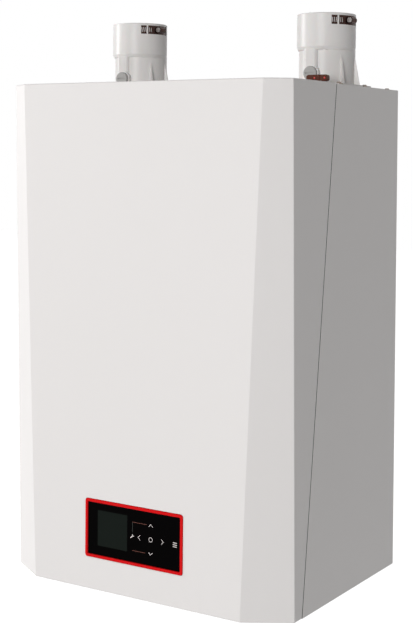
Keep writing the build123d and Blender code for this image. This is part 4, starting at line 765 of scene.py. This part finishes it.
# --------------------------------------------------------------- control panel
@dataclass
class PanelMarks:
    """Touch marks and faint lines on the control panel's black glass.

    Sizes are in millimetres, and a place is its x and z from the middle of the panel; the
    places of the spanner's strokes are from the spanner's own middle.
    """

    line: float = 0.6
    thickness: float = 0.08
    pad: Pair = (32.3, -1.4)
    pad_reach: float = 23.6
    chevron_depth: float = 4.0
    chevron_half: float = 3.8
    ring_radius: float = 3.3
    ring_steps: int = 48
    spanner: Pair = (-2.4, -1.6)
    shank_end: Pair = (-3.2, -2.8)
    fork: Pair = (0.7, 0.7)
    prong_ends: tuple[Pair, ...] = ((0.7, 3.3), (3.5, 0.9))
    shank_width: float = 1.25
    prong_width: float = 0.9
    bars: Pair = (77.0, -1.9)
    bar_half: float = 3.6
    bar_step: float = 3.0
    bar_width: float = 1.0
    hair_width: float = 0.5
    hair_left: float = -1.8
    hair_levels: Pair = (20.8, -23.4)
    hair_lengths: Pair = (27.0, 24.0)
    upright_ends: Pair = (4.8, 20.4)
    depth: float = field(init=False)
    middle: float = field(init=False)

    def __post_init__(self) -> None:
        """Finds the depth of the glass's face and the height of its middle."""
        low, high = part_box("display_glass")
        self.depth = low.y / MM
        self.middle = (low.z + high.z) / 2 / MM

    def stroke(self, places: Sequence[Pair], width: float, closed: bool = False) -> Surface:
        """Flat stroke through places on the glass."""
        x, z = np.asarray(places, float).T
        path = np.stack([x, np.full(len(x), self.depth), self.middle + z], -1)
        return ribbon(path, width, self.thickness, closed)

    def chevrons(self) -> Surface:
        """Four open arrowheads round the ring, each with its point outwards.

        The right one is turned about the pad's middle in quarters, so that (x, z) goes to
        (x cos t - z sin t, x sin t + z cos t).
        """
        back = self.pad_reach - self.chevron_depth
        right = np.array([(back, self.chevron_half), (self.pad_reach, 0.0), (back, -self.chevron_half)])
        strokes = []
        for angle in np.radians([0, 90, 180, 270]):
            c, s = math.cos(angle), math.sin(angle)
            strokes.append(self.stroke(right @ np.array([(c, s), (-s, c)]) + self.pad, self.line))
        return joined(*strokes)

    def ring(self) -> Surface:
        """The ring in the middle of the pad: its middle plus the radius times (cos t, sin t)."""
        t = np.radians(np.linspace(0, 360, self.ring_steps, endpoint=False))
        circle = self.ring_radius * np.stack([np.cos(t), np.sin(t)], -1)
        return self.stroke(self.pad + circle, self.line, True)

    def wrench(self) -> Surface:
        """A spanner: a slanted shank that forks into two short prongs."""
        places = np.array([self.shank_end, self.fork, *self.prong_ends]) + self.spanner
        shank_end, fork, *prong_ends = places
        return joined(
            self.stroke([shank_end, fork], self.shank_width),
            *[self.stroke([fork, end], self.prong_width) for end in prong_ends],
        )

    def menu(self) -> Surface:
        """Three short bars over one another."""
        x, z = self.bars
        levels = (z - self.bar_step, z, z + self.bar_step)
        bars = [[(x - self.bar_half, level), (x + self.bar_half, level)] for level in levels]
        return joined(*[self.stroke(bar, self.bar_width) for bar in bars])

    def hairlines(self) -> Surface:
        """Level hairlines at the left corners of the touch pad."""
        left = self.hair_left
        sizes = zip(self.hair_levels, self.hair_lengths)
        lines = [[(left, level), (left + length, level)] for level, length in sizes]
        return joined(*[self.stroke(line, self.hair_width) for line in lines])

    def upright(self) -> Surface:
        """The dimmer hairline that goes down from the upper one to the spanner."""
        return self.stroke([(self.hair_left, z) for z in self.upright_ends], self.hair_width)

    def build(self) -> None:
        """Makes the marks and the lines."""
        icons = joined(self.chevrons(), self.ring(), self.wrench(), self.menu())
        piece("panel_icons", *icons, ICON, "casing", "screen")
        piece("panel_hairlines", *self.hairlines(), FAINT, "casing", "screen")
        piece("panel_upright_line", *self.upright(), DIM, "casing", "screen")


# ------------------------------------------------------------------ small parts
@dataclass
class SensorContacts:
    """Two red contact caps on the flue sensor's face, in millimetres.

    Places are across the face from the sensor's middle, and the drop is from its top. Each
    cap is a profile turned about -Y: sunk into the face, straight to its rim, then over a
    shoulder to the top, with a pole of next to no radius at either end.
    """

    places: Pair = (-3.5, 14.2)
    drop: float = 5.25
    radius: float = 1.45
    sunk: float = 0.3
    rim: float = 0.1
    rise: float = 0.55
    shoulder: float = 0.8
    pole: float = 0.05
    steps: int = 24
    bend: float = 50.0

    def build(self) -> None:
        """Turns both caps over the sensor's own round contacts."""
        low, high = (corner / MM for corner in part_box("flue_sensor"))
        middle, level = (low.x + high.x) / 2, high.z - self.drop
        profile = [
            (self.pole, -self.sunk),
            (self.radius, -self.sunk),
            (self.radius, self.rim),
            (self.radius * self.shoulder, self.rise * self.shoulder),
            (self.pole, self.rise),
        ]
        centres = [(middle + x, low.y, level) for x in self.places]
        caps = [turned(profile, centre, (0, -1, 0), self.steps) for centre in centres]
        piece("sensor_contacts", *joined(*caps), SENSOR_RED, "casing", "sensor_brown", self.bend)


@dataclass
class TailThread:
    """Helical male thread on a pipe tail, in millimetres.

    At height z and angle t the wave is |2 f - 1|, where f is the fraction in z / pitch -
    t / 2 pi, and the ridge is the wave made steeper and cut to lie from 0 to 1. The radius is
    radius + crest * (1 - fade * (1 - ridge)) - sink * (1 - fade), where fade rises from 0 to 1
    over one pitch from either end. A ring at radius - root closes each end inside the tail.
    """

    node: str
    x: float
    radius: float
    pitch: float
    finish: Finish = BRASS
    y: float = -150.0
    low: float = -745.6
    high: float = -712.4
    crest: float = 0.35
    sink: float = 0.25
    root: float = 0.4
    steepness: float = 1.25
    groove_flat: float = 0.1
    rows_per_pitch: int = 9
    columns: int = 72
    bend: float = 50.0

    def build(self, slot: str) -> None:
        """Makes the threaded sleeve, closed against the tail at both ends."""
        rows = int((self.high - self.low) / self.pitch * self.rows_per_pitch)
        z = np.linspace(self.low, self.high, rows)[:, None]
        t = np.linspace(0, 2 * np.pi, self.columns, endpoint=False)[None, :]
        wave = np.abs(2 * ((z / self.pitch - t / (2 * np.pi)) % 1.0) - 1)
        ridge = np.clip(self.steepness * wave - self.groove_flat, 0, 1)
        fade = np.clip(np.minimum(z - self.low, self.high - z) / self.pitch, 0, 1)
        r = self.radius + self.crest * (1 - fade * (1 - ridge)) - self.sink * (1 - fade)
        end = np.full((1, self.columns), self.radius - self.root)
        r, z = np.vstack([end, r, end]), np.vstack([z[:1], z, z[-1:]])
        grid = np.stack([self.x + r * np.cos(t), self.y + r * np.sin(t), z + 0 * t], -1)
        points = grid.reshape(-1, 3) * MM
        faces = grid_faces(len(grid), self.columns, True)[:, ::-1]
        piece(f"{self.node}_thread", points, faces, self.finish, "casing", slot, self.bend)


ONE_INCH = {"radius": 16.7, "pitch": 2.309}
THREE_QUARTER_INCH = {"radius": 13.33, "pitch": 1.814}
THREADS = (
    TailThread("pump_body", -165.0, **ONE_INCH),
    TailThread("diverter_body", -75.0, **ONE_INCH),
    TailThread("cold_water_pipe", 140.0, **THREE_QUARTER_INCH),
    TailThread("hot_water_pipe", 197.0, **THREE_QUARTER_INCH),
    TailThread("gas_pipe", -231.95, **THREE_QUARTER_INCH),
)


# ---------------------------------------------------------------------- studio
@dataclass(frozen=True)
class Lamp:
    """One soft square lamp that faces the boiler's middle.

    It stands at an azimuth in degrees to the right of straight ahead of the boiler and a
    height in degrees above its middle, so many metres from that middle, and its size is its
    side in metres. The level is the share of its colour that a white card facing the lamp
    gives back, so the power is level times pi squared times the distance squared.
    """

    name: str
    azimuth: float
    height: float
    distance: float
    size: float
    level: float

    def build(self, middle: Vector) -> None:
        """Hangs the lamp and turns it to the middle."""
        data = bpy.data.lights.new(self.name, "AREA")
        data.size = self.size
        data.energy = self.level * (math.pi * self.distance) ** 2
        a, h = math.radians(self.azimuth), math.radians(self.height)
        away = Vector((math.sin(a) * math.cos(h), -math.cos(a) * math.cos(h), math.sin(h)))
        facing = (-away).to_track_quat("-Z", "Y").to_matrix().to_4x4()
        lamp = bpy.data.objects.new(self.name, data)
        lamp.matrix_world = Matrix.Translation(middle + away * self.distance) @ facing
        bpy.context.scene.collection.objects.link(lamp)


@dataclass
class Studio:
    """Floor, backdrop, lamps and camera.

    Lengths are in metres and angles in degrees; the focal length is in pixels of a picture of
    the given height, and the sensor in millimetres.
    """

    floor_level: float = -1.25
    floor_reach: float = 14.0
    floor_grey: float = 0.86
    floor_roughness: float = 0.9
    floor_glow: float = 0.85
    middle: Triple = (0.0, -0.2, -0.3)
    eye: Triple = (1.17676, -2.05015, -0.02487)
    yaw: float = 32.311
    pitch: float = 0.992
    roll: float = 0.509
    focal_length: float = 1319.3
    picture_height: float = 640.0
    sensor: float = 36.0
    shift: float = -0.22
    sight: float = 60.0
    backdrop: float = 1.0
    ambient: float = 0.185
    lamps: tuple[Lamp, ...] = (
        Lamp("key", azimuth=9, height=10, distance=6.0, size=2.4, level=0.47),
        Lamp("left", azimuth=-74, height=12, distance=5.0, size=1.5, level=0.38),
    )

    def camera(self) -> None:
        """Camera at the photograph's place: it looks along yaw and pitch and leans by roll."""
        data = bpy.data.cameras.new("camera")
        data.sensor_width = self.sensor
        data.lens = self.focal_length * self.sensor / self.picture_height
        data.shift_y = self.shift
        data.clip_end = self.sight
        y, p, r = (math.radians(v) for v in (self.yaw, self.pitch, self.roll))
        ahead = Vector((-math.sin(y) * math.cos(p), math.cos(y) * math.cos(p), -math.sin(p)))
        level = Vector((math.cos(y), math.sin(y), 0))
        rise = level.cross(ahead)
        right = level * math.cos(r) + rise * math.sin(r)
        up = rise * math.cos(r) - level * math.sin(r)
        turn = Matrix((right, up, -ahead)).transposed().to_4x4()
        camera = bpy.data.objects.new("camera", data)
        camera.matrix_world = Matrix.Translation(self.eye) @ turn
        bpy.context.scene.collection.objects.link(camera)
        bpy.context.scene.camera = camera

    def feed_seen(
        self,
        tree: bpy.types.NodeTree,
        socket: bpy.types.NodeSocket,
        strength: float,
        unseen: float = 0.0,
    ) -> None:
        """Gives a socket one strength for what the eye, gloss and glass see, and another for the rest.

        Args:
            tree: the material's or world's nodes.
            socket: where the strength goes.
            strength: for camera, glossy and transmission rays.
            unseen: for all other rays.
        """
        path = tree.nodes.new("ShaderNodeLightPath")
        seen = path.outputs["Is Camera Ray"]
        for name in ("Is Glossy Ray", "Is Transmission Ray"):
            most = tree.nodes.new("ShaderNodeMath")
            most.operation = "MAXIMUM"
            tree.links.new(seen, most.inputs[0])
            tree.links.new(path.outputs[name], most.inputs[1])
            seen = most.outputs[0]
        scaled = tree.nodes.new("ShaderNodeMath")
        scaled.operation = "MULTIPLY_ADD"
        scaled.inputs[1].default_value = strength - unseen
        scaled.inputs[2].default_value = unseen
        tree.links.new(seen, scaled.inputs[0])
        tree.links.new(scaled.outputs[0], socket)

    def floor_paint(self) -> bpy.types.Material:
        """Pale paint that glows white to the eye, and that is clear from underneath.

        Returns:
            The floor's material.
        """
        material = bpy.data.materials.new("floor")
        material.use_nodes = True
        nodes, links = material.node_tree.nodes, material.node_tree.links
        shader = nodes["Principled BSDF"]
        shader.inputs["Base Color"].default_value = (*[self.floor_grey] * 3, 1)
        shader.inputs["Roughness"].default_value = self.floor_roughness
        shader.inputs["Emission Color"].default_value = (1, 1, 1, 1)
        self.feed_seen(material.node_tree, shader.inputs["Emission Strength"], self.floor_glow)
        mix = nodes.new("ShaderNodeMixShader")
        links.new(nodes.new("ShaderNodeNewGeometry").outputs["Backfacing"], mix.inputs[0])
        links.new(shader.outputs[0], mix.inputs[1])
        links.new(nodes.new("ShaderNodeBsdfTransparent").outputs[0], mix.inputs[2])
        links.new(mix.outputs[0], nodes["Material Output"].inputs["Surface"])
        return material

    def floor(self) -> None:
        """A wide pale floor below the boiler that catches its shadow."""
        corners = np.array([(-1, -1), (1, -1), (1, 1), (-1, 1)]) * self.floor_reach
        points = np.column_stack([corners, np.full(len(corners), self.floor_level)])
        mesh = bpy.data.meshes.new("floor")
        mesh.from_pydata(points.tolist(), [], [[0, 1, 2, 3]])
        mesh.materials.append(self.floor_paint())
        floor = bpy.data.objects.new("floor", mesh)
        bpy.context.scene.collection.objects.link(floor)

    def world(self) -> None:
        """Even light all round, and white to the eye."""
        world = bpy.data.worlds.new("world")
        bpy.context.scene.world = world
        world.use_nodes = True
        background = world.node_tree.nodes["Background"]
        background.inputs["Color"].default_value = (1, 1, 1, 1)
        self.feed_seen(world.node_tree, background.inputs["Strength"], self.backdrop, self.ambient)

    def build(self) -> None:
        """Sets everything up."""
        self.camera()
        self.floor()
        self.world()
        for lamp in self.lamps:
            lamp.build(Vector(self.middle))
        bpy.context.scene.view_settings.view_transform = "Standard"


def main() -> None:
    """Dresses the CAD nodes, adds the finer pieces and sets the studio up."""
    logging.basicConfig(level=logging.INFO, format="%(message)s")
    slots = {entry["node"]: entry["material_slot"] for entry in frame["record"]["subparts"]}
    for group in NODE_GROUPS:
        group.build()
    PanelMarks().build()
    SensorContacts().build()
    for thread in THREADS:
        thread.build(slots[thread.node])
    Studio().build()


if __name__ == "__main__":
    main()
